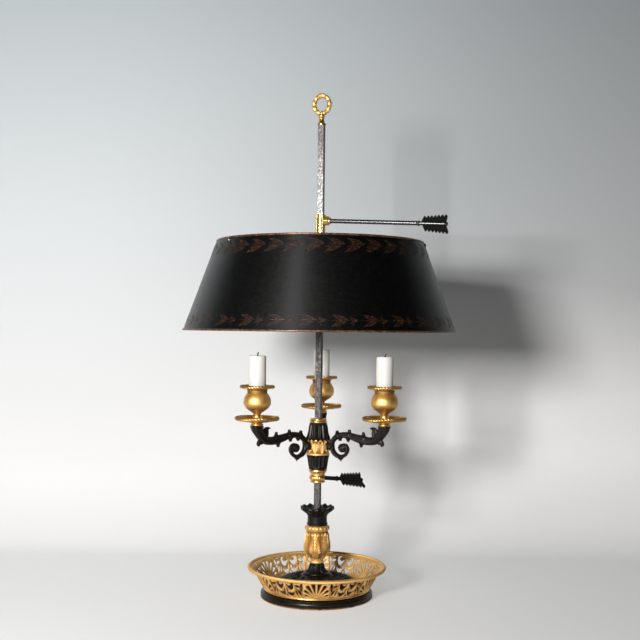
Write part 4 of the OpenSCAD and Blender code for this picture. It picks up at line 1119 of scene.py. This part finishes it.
def strand(rows, steps=6, sides=24, ridges=1.0, flutes_to=0):
    """A tube along rows of x, height, half width and half thickness, in the plane y = 0."""
    p = np.array(curve(rows, steps))
    d = np.gradient(p[:, :2], axis=0)
    d /= np.linalg.norm(d, axis=1)[:, None]
    t = around(sides)
    across, deep = np.cos(t), np.sin(t)
    swell = np.abs(np.abs(across) - 0.56) < 0.24
    side = 1 + ridges * np.where(swell, 0.16, -0.06) * (np.abs(deep) > 0.3)
    wide = p[:, 2:3] * np.sign(across) * np.abs(across) ** 0.86
    thick = p[:, 3:] * np.sign(deep) * np.abs(deep) ** 0.86 * side
    if flutes_to:
        share = 1 - soft(np.arange(len(p)), flutes_to * 0.5, flutes_to)[:, None]
        flute = 1 - 0.07 * share * (0.5 - 0.5 * np.cos(t * sides / 3))
        wide, thick = wide * flute, thick * flute
    points = np.stack([p[:, :1] - d[:, 1:] * wide, thick, p[:, 1:2] + d[:, :1] * wide], -1)
    wear = (np.where(swell & (np.abs(deep) > 0.3), 0.40, 0.06) + 0.5 * (np.abs(across) > 0.9))
    # The channel between the two ridges on each side is marked for painted shade.
    marks = {"wear": np.tile(wear, len(p)),
             "cavity": np.tile((np.abs(across) < 0.3) * 0.8 * ridges, len(p))}
    return points.reshape(-1, 3), skin(len(p), sides, flip=True, caps=True), marks


def aimed(part, foot, reach):
    """A turned part whose axis points along (x, z) from a foot in the arm's plane."""
    x, z = np.array(reach, float) / np.hypot(*reach)
    p = np.asarray(part[0])
    turned = np.stack([p[:, 0] * z + p[:, 2] * x, p[:, 1], p[:, 2] * z - p[:, 0] * x], -1)
    return turned + np.array([foot[0], 0, foot[1]]), part[1], part[2]


def bud(foot, reach, wide=2.9, end=1.9):
    """A leaf bud: broad at its foot, with a rounded tip."""
    long = math.hypot(*reach) + 0.8
    line = curve([(wide * 1.5, 0), (wide * 1.3, 0.3 * long), (wide * 0.95, 0.55 * long),
                  (end * 1.12, 0.74 * long), (end * 1.12, 0.86 * long), (end * 0.85, 0.95 * long),
                  (end * 0.4, 0.99 * long)], 3) + [(0, long)]
    part = lathe([(0, 0)] + line, 18, None, 9)
    high = part[0][:, 2] / long
    part[2].update(wear=0.8 * soft(high, 0.6, 0.9), cavity=0.8 * bump_at(high, 0.6, 0.12))
    return aimed(part, foot, reach)


def barrel_dents(angle, r, z, s):
    wave, on = 0.5 * np.cos(12 * angle), soft(z, 1.8, 2.4)
    return -0.35 * (0.5 + wave) * on * (r > 3), 0.7 * (0.5 + wave) * on, 0.6 * (0.5 - wave) * on


print("arm helpers ready")


# %% Arms
def arm(side):
    up = BACK_RISE if side == "back" else 0.0

    # Each of these gives a place in the arm's plane, with its half sizes after it.
    def along(share, rise, *size):
        return (ARM_ROOT + share * (CANDLE_CIRCLE - ARM_ROOT), ROOT_LEVEL + rise + share * up,
                *size)

    def cup(inward, down, *size):
        return (CANDLE_CIRCLE - inward, CUP_LEVEL + up - down, *size)

    def eye(x, z, *size):
        return (EYE[0] - x, EYE[1] - z, *size)

    def spoke(degrees, r, *size):
        a = math.radians(degrees)
        return (EYE[0] + r * math.cos(a), EYE[1] + r * math.sin(a), *size)

    spine = strand([
        cup(0, 0, 8.1, 8.1), cup(0, 1.8, 8, 8), cup(0.8, 5, 7.4, 7.2), cup(3.6, 10, 6.4, 6),
        cup(8, 15.4, 6, 5.2), cup(13.6, 19.4, 5.6, 4.6), along(0.719, 9.5, 5.4, 4.2),
        along(0.632, 10.6, 5.9, 4.2), along(0.519, 12.4, 5.2, 3.9), along(0.426, 14.4, 4.5, 3.4),
        along(0.32, 15.6, 4.2, 3.4), along(0.226, 15.1, 3.7, 3.4), along(0.15, 12.2, 3.8, 3.4),
        eye(14.1, -8.6, 3.4, 3.4), eye(15.1, -1.8, 3.3, 3.4), eye(13.7, 4.6, 3.4, 3.4),
        eye(9.5, 9.4, 3.2, 3.4), spoke(257, 11.9, 2.7, 3.2), spoke(291, 9.8, 2.4, 3.1),
        spoke(315, 8.5, 2.5, 3), spoke(337, 8, 2.3, 3), spoke(360, 7.4, 2.1, 2.9),
        spoke(398, 6.6, 1.6, 2.8), spoke(436, 5.4, 1.2, 2.7)], flutes_to=20)
    horn = strand([cup(10.5, 18, 5, 3.6), cup(12, 13, 5, 3.2), cup(12.8, 9, 4.8, 3),
                   cup(13.8, 6, 4, 2.6), cup(15.6, 4.4, 2.6, 2.2), cup(17.9, 3.8, 1.4, 1.8),
                   cup(20, 4.4, 0.6, 1)])
    curl = strand([cup(8.4, 19.4, 4.6, 3.2), cup(4.4, 21.8, 3.8, 3), cup(2.6, 24, 2.7, 2.5),
                   cup(3.6, 26.6, 1, 1.4)], ridges=0.5)
    buds = [bud(along(0.177, 13.8), (-1, 6.6)), bud(along(0.382, 15), (0.6, 7.4)),
            bud(along(0.644, 11), (-0.8, 9.2)), bud(along(0.607, 8.3), (-0.7, -6.8)),
            bud(along(0.37, 13.8), (-0.4, -6.1)), bud(along(0.217, 13.3), (0.3, -5.2)),
            bud(eye(2.7, 10.8), (0.6, -6.5), 3.2, 0.7)]
    half_disc = [(6, 0), (5.8, 1.9), (5, 2.8), (4.2, 2.3), (3.4, 2.3), (2.6, 3.2), (1.4, 3.7)]
    disc = lathe([(0, -3.8)] + [(r, -y) for r, y in half_disc[:0:-1]] + half_disc + [(0, 3.8)],
                 48, None, 9)
    disc[2]["wear"] = 0.7 * (np.hypot(*disc[0][:, :2].T) < 2.8)
    lying = disc[0][:, [0, 2, 1]] * [1, -1, 1] + [EYE[0], 0, EYE[1]]
    barrel = lathe([(0, 0), (5.4, 0), (5.6, 0.7), (5.1, 1.3), (5.1, 1.8), (5.5, 2.6), (5.5, 4.4),
                    (4.9, 5.8), (3.6, 6.8), (0, 7)], 72, barrel_dents, 0.7)
    whole = joined(spine, horn, curl, *buds, (lying, *disc[1:]),
                   aimed(barrel, (ARM_ROOT, ROOT_LEVEL), (1, 0)))
    piece(f"scroll_arm_{side}", moved(whole, degrees=ARM_ANGLES[side]), "black_bronze",
          "branches", f"arm_{side}", sharp=55)
    return len(whole[0])


print("arms:", [arm(side) for side in ARM_ANGLES], "points")

# %% [markdown]
# ## Pans, nozzles and bobeches
# At each arm's end stand a gilt collar, a dished pan with a twisted gadroon rim, a nozzle
# like a small urn, and a loose bobeche that catches the wax. Pans and bobeches were spun and
# burnished; the nozzles are brushed in fine lines. The gadroons are a wave round the rim
# whose phase runs on with the way across it, which twists them.

# %% Candle holders
PAN, NOZZLE, NOZZLE_TOP, CANDLE_LEVEL = 233.5, 237.3, 276.1, 253.3
STUD = 2.05


def place_of(side):
    """The foot of a candle holder at rest."""
    return turn_z([CANDLE_CIRCLE, 0, BACK_RISE if side == "back" else 0], ARM_ANGLES[side])


def gadroons(count, rim_from, depth, top_from, phase=1.5):
    """A twisted wave on the rim of a dish, outside a radius. Shade is painted between the
    waves and in the sunk ring, and the dish is made rougher and darker inside.
    """
    def relief(angle, r, z, s):
        wave = 0.5 + 0.5 * np.cos(count * angle + phase * s)
        on = soft(r, rim_from, rim_from + 0.8)
        rings = bump_at(r, rim_from - 2.4, 0.5)
        inside = 0.55 * soft(s, top_from, top_from + 1) * (1 - on)
        dull = 1.3 * on * (1 - wave) + 0.4 * rings + inside
        return on * depth * (wave - 0.6) - 0.15 * rings, dull, 0
    return relief


# The neck under the nozzle's lip and a ring at its foot are marked for painted shade.
def urn_marks(angle, r, z, s):
    ring = bump_at(z, NOZZLE + 34.4, 0.6) * (r > 12.4)
    neck = soft(z, NOZZLE + 33.6, NOZZLE + 34.4) * (r > 12.4)
    foot = bump_at(z, NOZZLE + 6.2, 0.8) * (r < 7)
    return -0.25 * ring, 0.95 * neck + 0.6 * foot, 0


urn = [(5.4, 0), (6.1, 0.7), (5.9, 1.8), (4.7, 2.8), (4.3, 4.2), (4.4, 5.8)]
urn += curve([(5, 8), (7.8, 10.2), (14, 14.6), (17.1, 19.4), (17.6, 22.8), (17, 27.1),
              (15.4, 30.6), (13.5, 33.4)], 8)
urn += [(12.8, 34.1), (12.7, 34.8), (12.7, 37.6), (13.5, 38.2), (13.15, 38.8)]
HOLDER = [
    ("collar_turned", "pan_collar", "branches", "burnished", 96, None,
     [(STUD, CUP_LEVEL), (7.4, CUP_LEVEL)] + arc((7, 231), 1.25, -70, 60, 7)
     + [(6.3, 232.5), (6.9, PAN), (STUD, PAN)]),
    ("dish_spun", "drip_pan", "branches", "burnished", 352, gadroons(40, 24.6, 0.8, 34.5),
     [(STUD, PAN), (8.5, PAN), (17, 234.7), (23.5, 236.2)]
     + arc((26.15, 239.05), 2.35, -75, 165, 14)
     + [(23.1, 237.8), (17, 236.1), (9.5, 235.5), (7.4, 235.9), (6.4, NOZZLE), (STUD, NOZZLE)]),
    ("urn_brushed", "nozzle", "branches", "brushed_gilt", 160, urn_marks,
     [(STUD, NOZZLE)] + [(r, NOZZLE + z) for r, z in urn]
     + [(12.15, NOZZLE_TOP), (12.15, 253.25), (STUD, 253.25)]),
    ("bobeche_spun", "bobeche", "bobeche_", "burnished", 288, gadroons(32, 18.8, 0.6, 33),
     [(11.1, 262.1), (12.05, 262.1), (12.05, 276.15), (14.15, 276.15), (18.7, 277.55)]
     + arc((20.3, 279.35), 2, -60, 165, 14) + [(17.3, 278.85), (13.1, 277.95), (11.1, 278.35)])]
for side in ARM_ANGLES:
    x, y, up = place_of(side)
    for name, node, body, finish, count, relief, outline in HOLDER:
        body += side if body.endswith("_") else ""
        piece(f"{name}_{side}", moved(lathe(outline, count, relief, 0.7, (x, y)), (0, 0, up)),
              finish, body, f"{node}_{side}")
print("three candle holders turned")

# %% [markdown]
# ## Candles and wicks
# Plain dinner candles. Each has burnt a little, so its top is dished and its edge softened;
# the sides bulge slightly where the wax is uneven. The wick is a charred twisted cord.

# %% Candles
def wax_skin(seed):
    def relief(angle, r, z, s):
        slow = np.sin(3 * angle + seed) * np.sin(z * 0.11 + 2 * seed)
        edge = soft(z, 316, 319) * (r > 6) * (0.5 + 0.5 * np.sin(5 * angle + 2 * seed))
        return 0.09 * slow * (r > 10) - 0.25 * edge, 0, 0
    return relief


def wick_cord(lean, height, sides=10):
    """A twisted cord that bends over, along rows of place and radius."""
    rows = [(0, 0, 311, 0.9), (0, 0, 318.4, 0.95), (0.2 * lean, 0.05 * lean, 319.8, 0.9),
            (0.5 * lean, 0.1 * lean, 319.3 + 0.55 * height, 0.85),
            (1.2 * lean, 0.2 * lean, 319.3 + 0.9 * height, 0.8),
            (1.5 * lean, 0.2 * lean, 319.3 + height, 0.35)]
    p, a = np.array(curve(rows, 6)), around(sides)
    twist = np.arange(len(p))[:, None] * 0.5
    r = p[:, 3:] * (1 + 0.16 * np.cos(3 * (a + twist)))
    points = np.stack([p[:, :1] + r * np.cos(a), p[:, 1:2] + r * np.sin(a),
                       p[:, 2:3] + 0 * r], -1)
    return points.reshape(-1, 3), skin(len(p), sides, caps=True), {}


candle_line = [(0, CANDLE_LEVEL), (10.4, CANDLE_LEVEL), (11, 253.9), (11, 317.6)]
candle_line += curve([(11, 317.8), (10.7, 318.8), (9.8, 319.25), (8.4, 319), (5, 318.3),
                      (1.8, 317.9)], 4) + [(0, 317.9)]
wicks = {"left": (0.6, 4.4), "right": (1.3, 3.6), "back": (0.9, 4)}
for seed, (side, bend) in enumerate(wicks.items(), 1):
    for name, part in (("candle", lathe(candle_line, 64, wax_skin(seed), 2.5)),
                       ("wick", wick_cord(*bend))):
        finish, label = {"candle": ("wax", "dinner_candle"), "wick": ("wick", "burnt_wick")}[name]
        piece(f"{label}_{side}", moved(part, place_of(side)), finish, f"candle_{side}",
              f"{name}_{side}")
print("three candles set")

# %% [markdown]
# ## The tin shade
# The shade is a cone of tin plate with its edges rolled over a wire. It was japanned black
# and rubbed down, then two borders were painted on it in a coppery brown: laurel above and a
# sprig with berries below. The cone is one turned outline. A border is one painted form, a
# film of paint thicker than life by a hair, set round the cone by the ring tree.

# %% Shade, rolled edges
SHADE_LOW, SHADE_HIGH, LOW_RADIUS, HIGH_RADIUS = 350.4, 469.6, 179.6, 136.2
SHADE_SLOPE = (LOW_RADIUS - HIGH_RADIUS) / (SHADE_HIGH - SHADE_LOW)
SHADE_LEAN = math.atan(SHADE_SLOPE)
BEAD, HALF_SHEET = 1.3, 0.4 / math.cos(SHADE_LEAN)


def shade_radius(z):
    return HIGH_RADIUS + (SHADE_HIGH - z) * SHADE_SLOPE


low, high = SHADE_LOW + 2 * BEAD, SHADE_HIGH - 2 * BEAD
shell = lathe([(shade_radius(z) + side * HALF_SHEET, z)
               for side, z in ((-1, low), (1, low), (1, high), (-1, high))], 256, None, 6)
within = np.hypot(shell[0][:, 0], shell[0][:, 1]) < shade_radius(shell[0][:, 2])
shell[2]["inside"] = within.astype(float)
piece("tin_shade", shell, "painted_tole", "shade", "shade_shell")
for name, radius, level in (("bottom", LOW_RADIUS, SHADE_LOW + BEAD),
                            ("top", HIGH_RADIUS, SHADE_HIGH - BEAD)):
    piece(f"rolled_edge_{name}", lathe(arc((radius, level), BEAD, 0, 330, 11), 256, None, 9),
          "bronzed_edge", "shade", f"shade_{name}_bead")
print("shade turned, lean", round(math.degrees(SHADE_LEAN), 1), "degrees")


# %% Painted borders
def painted(outlines, radius, thick=0.12):
    """Leaves drawn flat as (along, up), bent to the cone: a film with a brighter edge."""
    points, faces, edges = [], [], []
    for outline in outlines:
        p = np.array(outline, float)
        middle, n, first = p.mean(0), len(outline), len(points)
        rim = [(q, -0.1) for q in p] + [(middle + 0.985 * (q - middle), thick) for q in p]
        points += [(height - spot[0] ** 2 / (2 * radius), *spot)
                   for spot, height in rim + [(middle, thick)]]
        edges += [1.0] * (2 * n) + [0.0]
        pairs = [(first + k, first + (k + 1) % n) for k in range(n)]
        faces += [[a, b, b + n, a + n] for a, b in pairs]
        faces += [[a + n, b + n, first + 2 * n] for a, b in pairs]
        faces += [[a for a, b in pairs[::-1]]]
    return points, faces, {"wear": edges}


def leaf(start, end, width, bow=0.0):
    """A painted leaf, widest at its middle, drawn anticlockwise."""
    return leaf_outline(start, end, width, bow, 9,
                        lambda v: math.sin(math.pi * v ** 0.9) ** 1.15)[::-1]


def berry(x, y, r):
    return [(x + r * math.cos(a), y + r * math.sin(a)) for a in np.linspace(0, FULL, 9)[:-1]]


laurel = [leaf((11, 1.6), (-10.5, 9.2), 5.8, 0.9), leaf((6, -1.6), (-16, -9.4), 5.6, -0.9),
          leaf((0, 0.6), (-9.5, 3.0), 1.8, 0.3), leaf((-4, -0.6), (-13, -3.0), 1.8, -0.3),
          leaf((12, 0.3), (-8, -0.3), 0.9)]
sprig = [leaf((7.5, 1.4), (-11.5, 7.4), 5.4, 0.8), leaf((6, -1.4), (-12.5, -7.8), 5.4, -0.8),
         leaf((19, 0.4), (9.5, 3.9), 2.8, 0.5), leaf((19, -0.4), (9.5, -3.9), 2.8, -0.5),
         leaf((19.5, 0), (-19.5, 0), 1.2), berry(18.4, 0, 1.6), berry(12.5, 5.6, 1),
         berry(13.5, -5.4, 1)]
for name, outlines, count, level, seed in (("laurel", laurel, 36, 455.0, 4),
                                           ("sprig", sprig, 29, 364.2, 9)):
    radius = shade_radius(level)
    grow(name + "_border", RING, "painted_leaf", "shade",
         Form=form(name + "_form", *painted(outlines, radius)), Count=count,
         Radius=(radius + HALF_SHEET) * MM, Height=level * MM, First=0.31, Lean=-SHADE_LEAN,
         Size=1.0, Chance=0.03, Seed=seed)
    print(name, "border:", count, "copies of", len(outlines), "painted outlines")

# %% [markdown]
# ## The arrow keys
# A key is a screw whose head is an arrow's flight: two vanes with seven barbs each on a round
# core, cast and blackened. Each vane is a grid between the core and a lobed edge, and the
# same seven waves that scallop the edge raise the barbs.

# %% Keys
def on_key(part, level, droop):
    """A part drawn along +Z laid on a key's axis; its +X then points down."""
    d = math.radians(droop)
    x, y, z = np.asarray(part[0]).T
    laid = np.stack([z * math.cos(d) - x * math.sin(d), y,
                     level - x * math.cos(d) - z * math.sin(d)], -1)
    return turn_z(laid, ROD_TURN), part[1], part[2]


def vane(side, inner, outer, widths, thick=1.15, barbs=7, rows=98, steps=10):
    """One vane. Inner and outer are its first and last places along the key at the core and
    at the edge; widths are the edge's distances from the axis at both ends."""
    s, m = np.meshgrid(np.linspace(0, 1, rows), np.linspace(0, 1, steps), indexing="ij")

    def between(ends):
        return ends[0] + (ends[1] - ends[0]) * s

    lobe = np.abs(np.sin(np.pi * barbs * s))
    x = side * (between(widths) + 2.9 * lobe - 1.4) * m
    z = between(inner) * (1 - m) + between(outer) * m
    fine = 0.5 + 0.5 * np.cos(2 * np.pi * 4 * barbs * s)
    round_off = np.sqrt(np.clip(1 - ((m - 0.4) / 0.62) ** 4, 0.05, 1))
    half = thick * round_off * (0.72 + 0.20 * lobe + 0.05 * fine * lobe)
    points = np.concatenate([np.stack([x, y, z], -1).reshape(-1, 3) for y in (half, -half)])
    n, numbers = rows * steps, np.arange(rows * steps).reshape(rows, steps)
    quads = np.stack([numbers[:-1, :-1], numbers[:-1, 1:], numbers[1:, 1:], numbers[1:, :-1]],
                     -1).reshape(-1, 4)
    rim = [*numbers[:, 0], *numbers[-1, 1:], *numbers[-2::-1, -1], *numbers[0, -2:0:-1]]
    rim = [int(k) for k in rim]
    faces = quads.tolist() + (quads[:, ::-1] + n).tolist()
    faces += [[a, b, b + n, a + n] for a, b in zip(rim, rim[1:] + rim[:1])]
    if side < 0:
        faces = [face[::-1] for face in faces]
    return points, faces, {"wear": np.tile((0.5 * lobe ** 3 * m).ravel(), 2)}


def key(name, diameter, reach, height, sweep, level, droop):
    start, nock = reach - 37, reach - 0.9 - sweep / 2
    root, r, ring = nock - 2.4, diameter / 2, start - 1.2
    shaft = lathe([(0, 4.3), (r - 0.3, 4.3), (r, 4.7), (r, ring - 4.4), (r + 0.5, ring - 4),
                   (r, ring - 3.5), (r, ring - 2.4)] + arc((r - 0.1, ring - 1.2), 1.1, -80, 80, 8)
                  + [(r - 0.3, ring), (0, ring)], 40, None, 4)
    shaft[2]["wear"] = 0.9 * (np.abs(shaft[0][:, 2] - ring + 1.2) < 1.3)
    core = lathe([(0, ring), (r - 0.3, ring), (r - 0.3, nock - 0.8), (r - 0.9, nock),
                  (r - 1.3, nock), (r - 1.6, nock - 1.2), (0, nock - 1.4)], 32, None, 4)
    flight = joined(vane(-1, (start, root), (start + 2.4, reach - sweep - 0.3),
                         (0.68 * height, 0.95 * height)),
                    vane(1, (start + 1, root), (start + 4.4, reach - 0.3),
                         (0.75 * height, 1.02 * height)))
    polish = "black_iron" if droop else "lampblack"
    for label, part, finish in (("shaft", shaft, polish), ("core", core, polish),
                                ("arrow", flight, "lampblack")):
        nodes = () if label == "core" else (f"{name}_{label}",)
        piece(f"{name}_{label}_cast", on_key(part, level, droop), finish, name, *nodes, sharp=50)


key("upper_key", 5.8, 172.3, 11.6, 2.1, 497.8, 2.5)
key("lower_key", 5.4, 66, 9.2, 7, 157.0, 0)
print("two arrow keys cast")

# %% [markdown]
# ## The finial
# On the rod stands a turned socket with a small laurel wreath. Two laurel stems rise from a
# knot and meet at the top. A tree sets four leaves round the stem at each step, leaning out
# along it, and flips them for the second stem.

# %% Finial wreath
SOCKET_TOP, WREATH_WIDE, WREATH_TALL, WREATH_STEPS = 637.0, 10.2, 11.35, 10
WREATH_CENTRE = SOCKET_TOP + 15.9 - 1


def wreath_tree():
    t = Tree("wreath", Form="Object", Wide="Float", Tall="Float", Level="Float", Turn="Float",
             Steps="Int", Seed="Int")
    index = t.geo("InputIndex")
    steps, wide, tall = (t.given[label] for label in ("Steps", "Wide", "Tall"))
    station = (index / 4.0).of("FLOOR")
    side = 1.0 - 2.0 * (station / steps).of("FLOOR")
    rank = station.of("FLOORED_MODULO", steps)
    a = side * ((rank + 0.35) / steps * math.pi) - math.pi / 2
    cosine, sine = a.of("COSINE"), a.of("SINE")
    run_x, run_z = side * wide * sine * -1.0, side * tall * cosine
    chance = t.chance()
    roll = index.of("FLOORED_MODULO", 4.0) * (math.pi / 2) + rank * (math.pi / 4) + chance * 0.15
    copies = t.copies(steps * 8.0, t.vector(wide * cosine, 0.0, tall * sine),
                      t.vector(roll, run_z.of("ARCTAN2", run_x) * -1.0, 0.0),
                      1.0 + 0.08 * chance)
    return t.ends(t.geo("Transform", {
        "Geometry": copies, "Translation": t.vector(z=t.given["Level"]),
        "Rotation": t.vector(z=t.given["Turn"])}))


def bent_leaf(long=5.6, wide=4.6, rooted=2.5, flare=0.17, rows=6):
    """A cupped leaf along +X that lies over the stem and lifts off at its tip. Its edges, its
    foot and its underside are marked for painted shade, where the leaves overlap.
    """
    points, faces, shaded_hollow = [], [], []
    for v in (i / rows for i in range(rows + 1)):
        half = wide / 2 * math.sin(math.pi * min(v * 0.93 + 0.07, 1) ** 0.8)
        lift = rooted + flare * long * v * (0.4 + 0.6 * v)
        for across, down in ((-1, 0.5), (-0.5, 0.12), (0, 0.28), (0.5, 0.12), (1, 0.5)):
            points.append((long * v, half * across, lift - down * half * 0.8))
            shaded_hollow.append(min(1.0, 1.3 * abs(across) ** 3 + 0.9 * (v < 0.3)))
    n, last = len(points), rows * 5
    for row in range(0, last, 5):
        for a in range(row, row + 4):
            faces += [[a, a + 5, a + 6, a + 1], [a + n, a + 1 + n, a + 6 + n, a + 5 + n]]
        faces += [[row, row + n, row + 5 + n, row + 5],
                  [row + 4, row + 9, row + 9 + n, row + 4 + n]]
    faces += [[k, k + 1, k + 1 + n, k + n] for k in range(4)]
    faces += [[k + 1, k, k + n, k + 1 + n] for k in range(last, last + 4)]
    return points + [(x, y, z - 0.3) for x, y, z in points], faces, {"cavity": shaded_hollow + [1.0] * n}


def wreath_stem(count=72, sides=12, radius=2.1):
    a, b = around(count)[:, None], around(sides)
    r = radius * np.cos(b)
    points = np.stack([(WREATH_WIDE + r) * np.cos(a), radius * np.sin(b) + 0 * a,
                       WREATH_CENTRE + (WREATH_TALL + r) * np.sin(a)], -1)
    return points.reshape(-1, 3), skin(count, sides, closed=True, flip=True), {}


tie = WREATH_CENTRE - WREATH_TALL
stems = [strand([(side * 1, tie + 0.4, 1.0, 1.0), (side * -2.4, tie - 0.6, 1, 1),
                 (side * -5.4, tie - 0.3, 0.9, 0.9), (side * -7.2, tie + 0.6, 0.5, 0.5)],
                sides=12, ridges=0) for side in (-1, 1)]
foot = lathe([(0, 0), (3.6, 0), (3.7, 1), (3, 2), (1.6, 2.6), (0, 2.6)], 32)
piece("wreath_stem", moved(joined(wreath_stem(), moved(ball(2.7), (0, 0, tie)),
                                  moved(foot, (0, 0, SOCKET_TOP)), *stems), degrees=ROD_TURN),
      "burnished", "base", "finial_wreath", sharp=50)
grow("wreath_leaves", wreath_tree(), "gilt_bronze", "base",
     Form=form("laurel_leaf", *bent_leaf()), Wide=WREATH_WIDE * MM, Tall=WREATH_TALL * MM,
     Level=WREATH_CENTRE * MM, Turn=math.radians(ROD_TURN), Steps=WREATH_STEPS, Seed=6)
piece("finial_socket_turned", lathe(
    [(2.05, 624.6), (5.6, 624.6), (5.7, 625.4), (5.6, 626.3), (5, 627)]
    + curve([(4.5, 627.4), (3.4, 630), (3.1, 632.6)], 5) + [(3.7, 633.2), (3.7, 634), (3.3, 634.6)]
    + curve([(3.5, 635), (4.1, 636.2), (4.2, SOCKET_TOP)], 4)
    + [(0, SOCKET_TOP), (0, 632.4), (2.05, 632.4)], 64, None, 0.5),
    "burnished", "base", "finial_socket")
print("finial: a wreath of", 8 * WREATH_STEPS, "leaves")

# %% [markdown]
# ## Floor, backdrop and light
# The lamp stands on a pale sweep of paper that curves up behind it, open when seen from its
# back. One soft box stands in front, a little to the left and about as high as the shade, so
# the shade's shadow falls on the paper at the right. A weak second one hangs higher and lays
# a narrow sheen on the shade. The room is dark otherwise, though the camera sees it pale; what
# fills the shadows comes back from the paper. The paper's colour is painted darker towards the
# top and the right, as painted fall-off of the light, with a painted shadow low on the right
# where the shade's shadow falls, and the floor glows to the camera, less on the right.

# %% Paper sweep
def sweep_paper():
    f = Finish("paper", IOR=1.4)
    high, right = f.axis(f.place, 2), f.axis(f.place, 0).step(-0.42, 0.62)
    fibre = f.noise(400, 3)
    # Paper colour up the sweep, painted darker towards the top as painted fall-off of the light.
    left_painted_falloff = [
        (0.0, (0.79, 0.79, 0.785)), (0.03, (0.69, 0.69, 0.69)), (0.12, (0.56, 0.563, 0.568)),
        (0.2, (0.525, 0.531, 0.538)), (0.45, (0.45, 0.474, 0.489)), (1.0, (0.245, 0.283, 0.303))]
    # The right side is painted darker as fall-off; its steep drop from 0.2 to 0.36 is a painted
    # shadow.
    right_painted_falloff_and_shadow = [
        (0.0, (0.57, 0.57, 0.565)), (0.03, (0.64, 0.64, 0.64)), (0.12, (0.66, 0.66, 0.66)),
        (0.2, (0.60, 0.60, 0.60)), (0.28, (0.46, 0.462, 0.462)), (0.36, (0.34, 0.348, 0.352)),
        (0.45, (0.315, 0.33, 0.338)), (1.0, (0.165, 0.182, 0.195))]
    sides = [f.add("ShaderNodeValToRGB", {"Fac": high / 1.2}, stops=stops)
             for stops in (left_painted_falloff, right_painted_falloff_and_shadow)]
    f.done(Base_Color=f.mix(right, *sides), Roughness=0.85 + 0.05 * fibre,
           Normal=f.bump(fibre, 0.04, 0.0002))
    rays = f.tree.nodes.new("ShaderNodeLightPath").outputs
    seen, mirrored, through = (Wire(f, rays[f"Is {kind} Ray"])
                               for kind in ("Camera", "Glossy", "Transmission"))
    # The paper glows to the camera, strongly on the floor; the glow is painted darker on the
    # right.
    share = 0.01 + 0.42 * (1 - high.step(0.0, 0.12))
    glow = f.add("ShaderNodeEmission", {
        "Color": f.mix(right, (0.88, 0.88, 0.87), (0.70, 0.70, 0.695)), "Strength": 1.0})
    paper = f.add("ShaderNodeMixShader", {
        0: (seen + mirrored + through).clamped() * share,
        1: Wire(f, f.tree.nodes["Principled BSDF"].outputs[0]), 2: glow})
    facing = f.add("ShaderNodeMixShader", {
        0: f.add("ShaderNodeNewGeometry", output="Backfacing"), 1: paper,
        2: f.add("ShaderNodeBsdfTransparent")})
    f.feed(f.tree.nodes["Material Output"].inputs[0], facing)
    return f.material


def sweep():
    wall, turn, wide = 0.40, 0.16, 2.0
    line = [(-2.4, 0.0), (-1.0, 0.0), (wall - turn, 0.0)]
    line += [(wall - turn + turn * math.sin(a), turn - turn * math.cos(a))
             for a in np.linspace(0, math.pi / 2, 25)[1:]]
    line += [(wall, 0.8), (wall, 2.4)]
    points = [(x, y, z - 0.00005) for y, z in line for x in (-wide, wide)]
    faces = [[2 * i, 2 * i + 1, 2 * i + 3, 2 * i + 2] for i in range(len(line) - 1)]
    made = form("paper_sweep", np.array(points) / MM, faces, sharp=180)
    bpy.context.scene.collection.objects.link(made)
    made.data.materials.append(sweep_paper())


sweep()
print("paper laid")


# %% Lights and world
def softbox(name, place, aim, width, height, power, colour=(1, 1, 1)):
    data = bpy.data.lights.new(name, "AREA")
    data.shape, data.size, data.size_y = "RECTANGLE", width, height
    data.energy, data.color = power, colour
    lamp = bpy.data.objects.new(name, data)
    lamp.location = place
    lamp.rotation_euler = (Vector(aim) - Vector(place)).to_track_quat("-Z", "Y").to_euler()
    bpy.context.scene.collection.objects.link(lamp)


softbox("key_light", (-0.68, -1.60, 0.54), (0, 0, 0.36), 0.36, 0.26, 57.5, (1.0, 0.985, 0.965))
softbox("high_light", (-0.53, -1.14, 1.40), (0, 0, 0.42), 0.3, 0.4, 1.5)

world = bpy.data.worlds.new("studio")
bpy.context.scene.world = world
world.use_nodes = True
room = Kit(world.node_tree)
dark = room.tree.nodes["Background"]
room.feed(dark.inputs[0], (0.86, 0.92, 1.0))
room.feed(dark.inputs[1], 0.012)
pale = room.add("ShaderNodeBackground", {0: (0.70, 0.71, 0.72), 1: 1.0})
either = room.add("ShaderNodeMixShader", {
    0: room.add("ShaderNodeLightPath", output="Is Camera Ray"), 1: Wire(room, dark.outputs[0]),
    2: pale})
room.feed(room.tree.nodes["World Output"].inputs[0], either)
print("two soft boxes and a dark room")

# %% [markdown]
# ## Camera
# A long lens at half the lamp's height looks level, so that upright lines stay upright. It is
# rolled by two thirds of a degree, as a hand-held camera often is.

# %% Camera
camera_data = bpy.data.cameras.new("camera")
camera = bpy.data.objects.new("camera", camera_data)
bpy.context.scene.collection.objects.link(camera)
camera_data.sensor_width = 36
camera_data.lens = 1050 / 640 * 36
camera_data.shift_y = 10 / 640
camera.location = (0.0008, -1.394, 0.3528)
camera.rotation_euler = (math.radians(90), math.radians(-0.64), 0)
bpy.context.scene.camera = camera
bpy.context.scene.view_settings.view_transform = "Standard"
print("camera set, lens", round(camera_data.lens, 1), "mm")

# %% Finish
print("scene built")
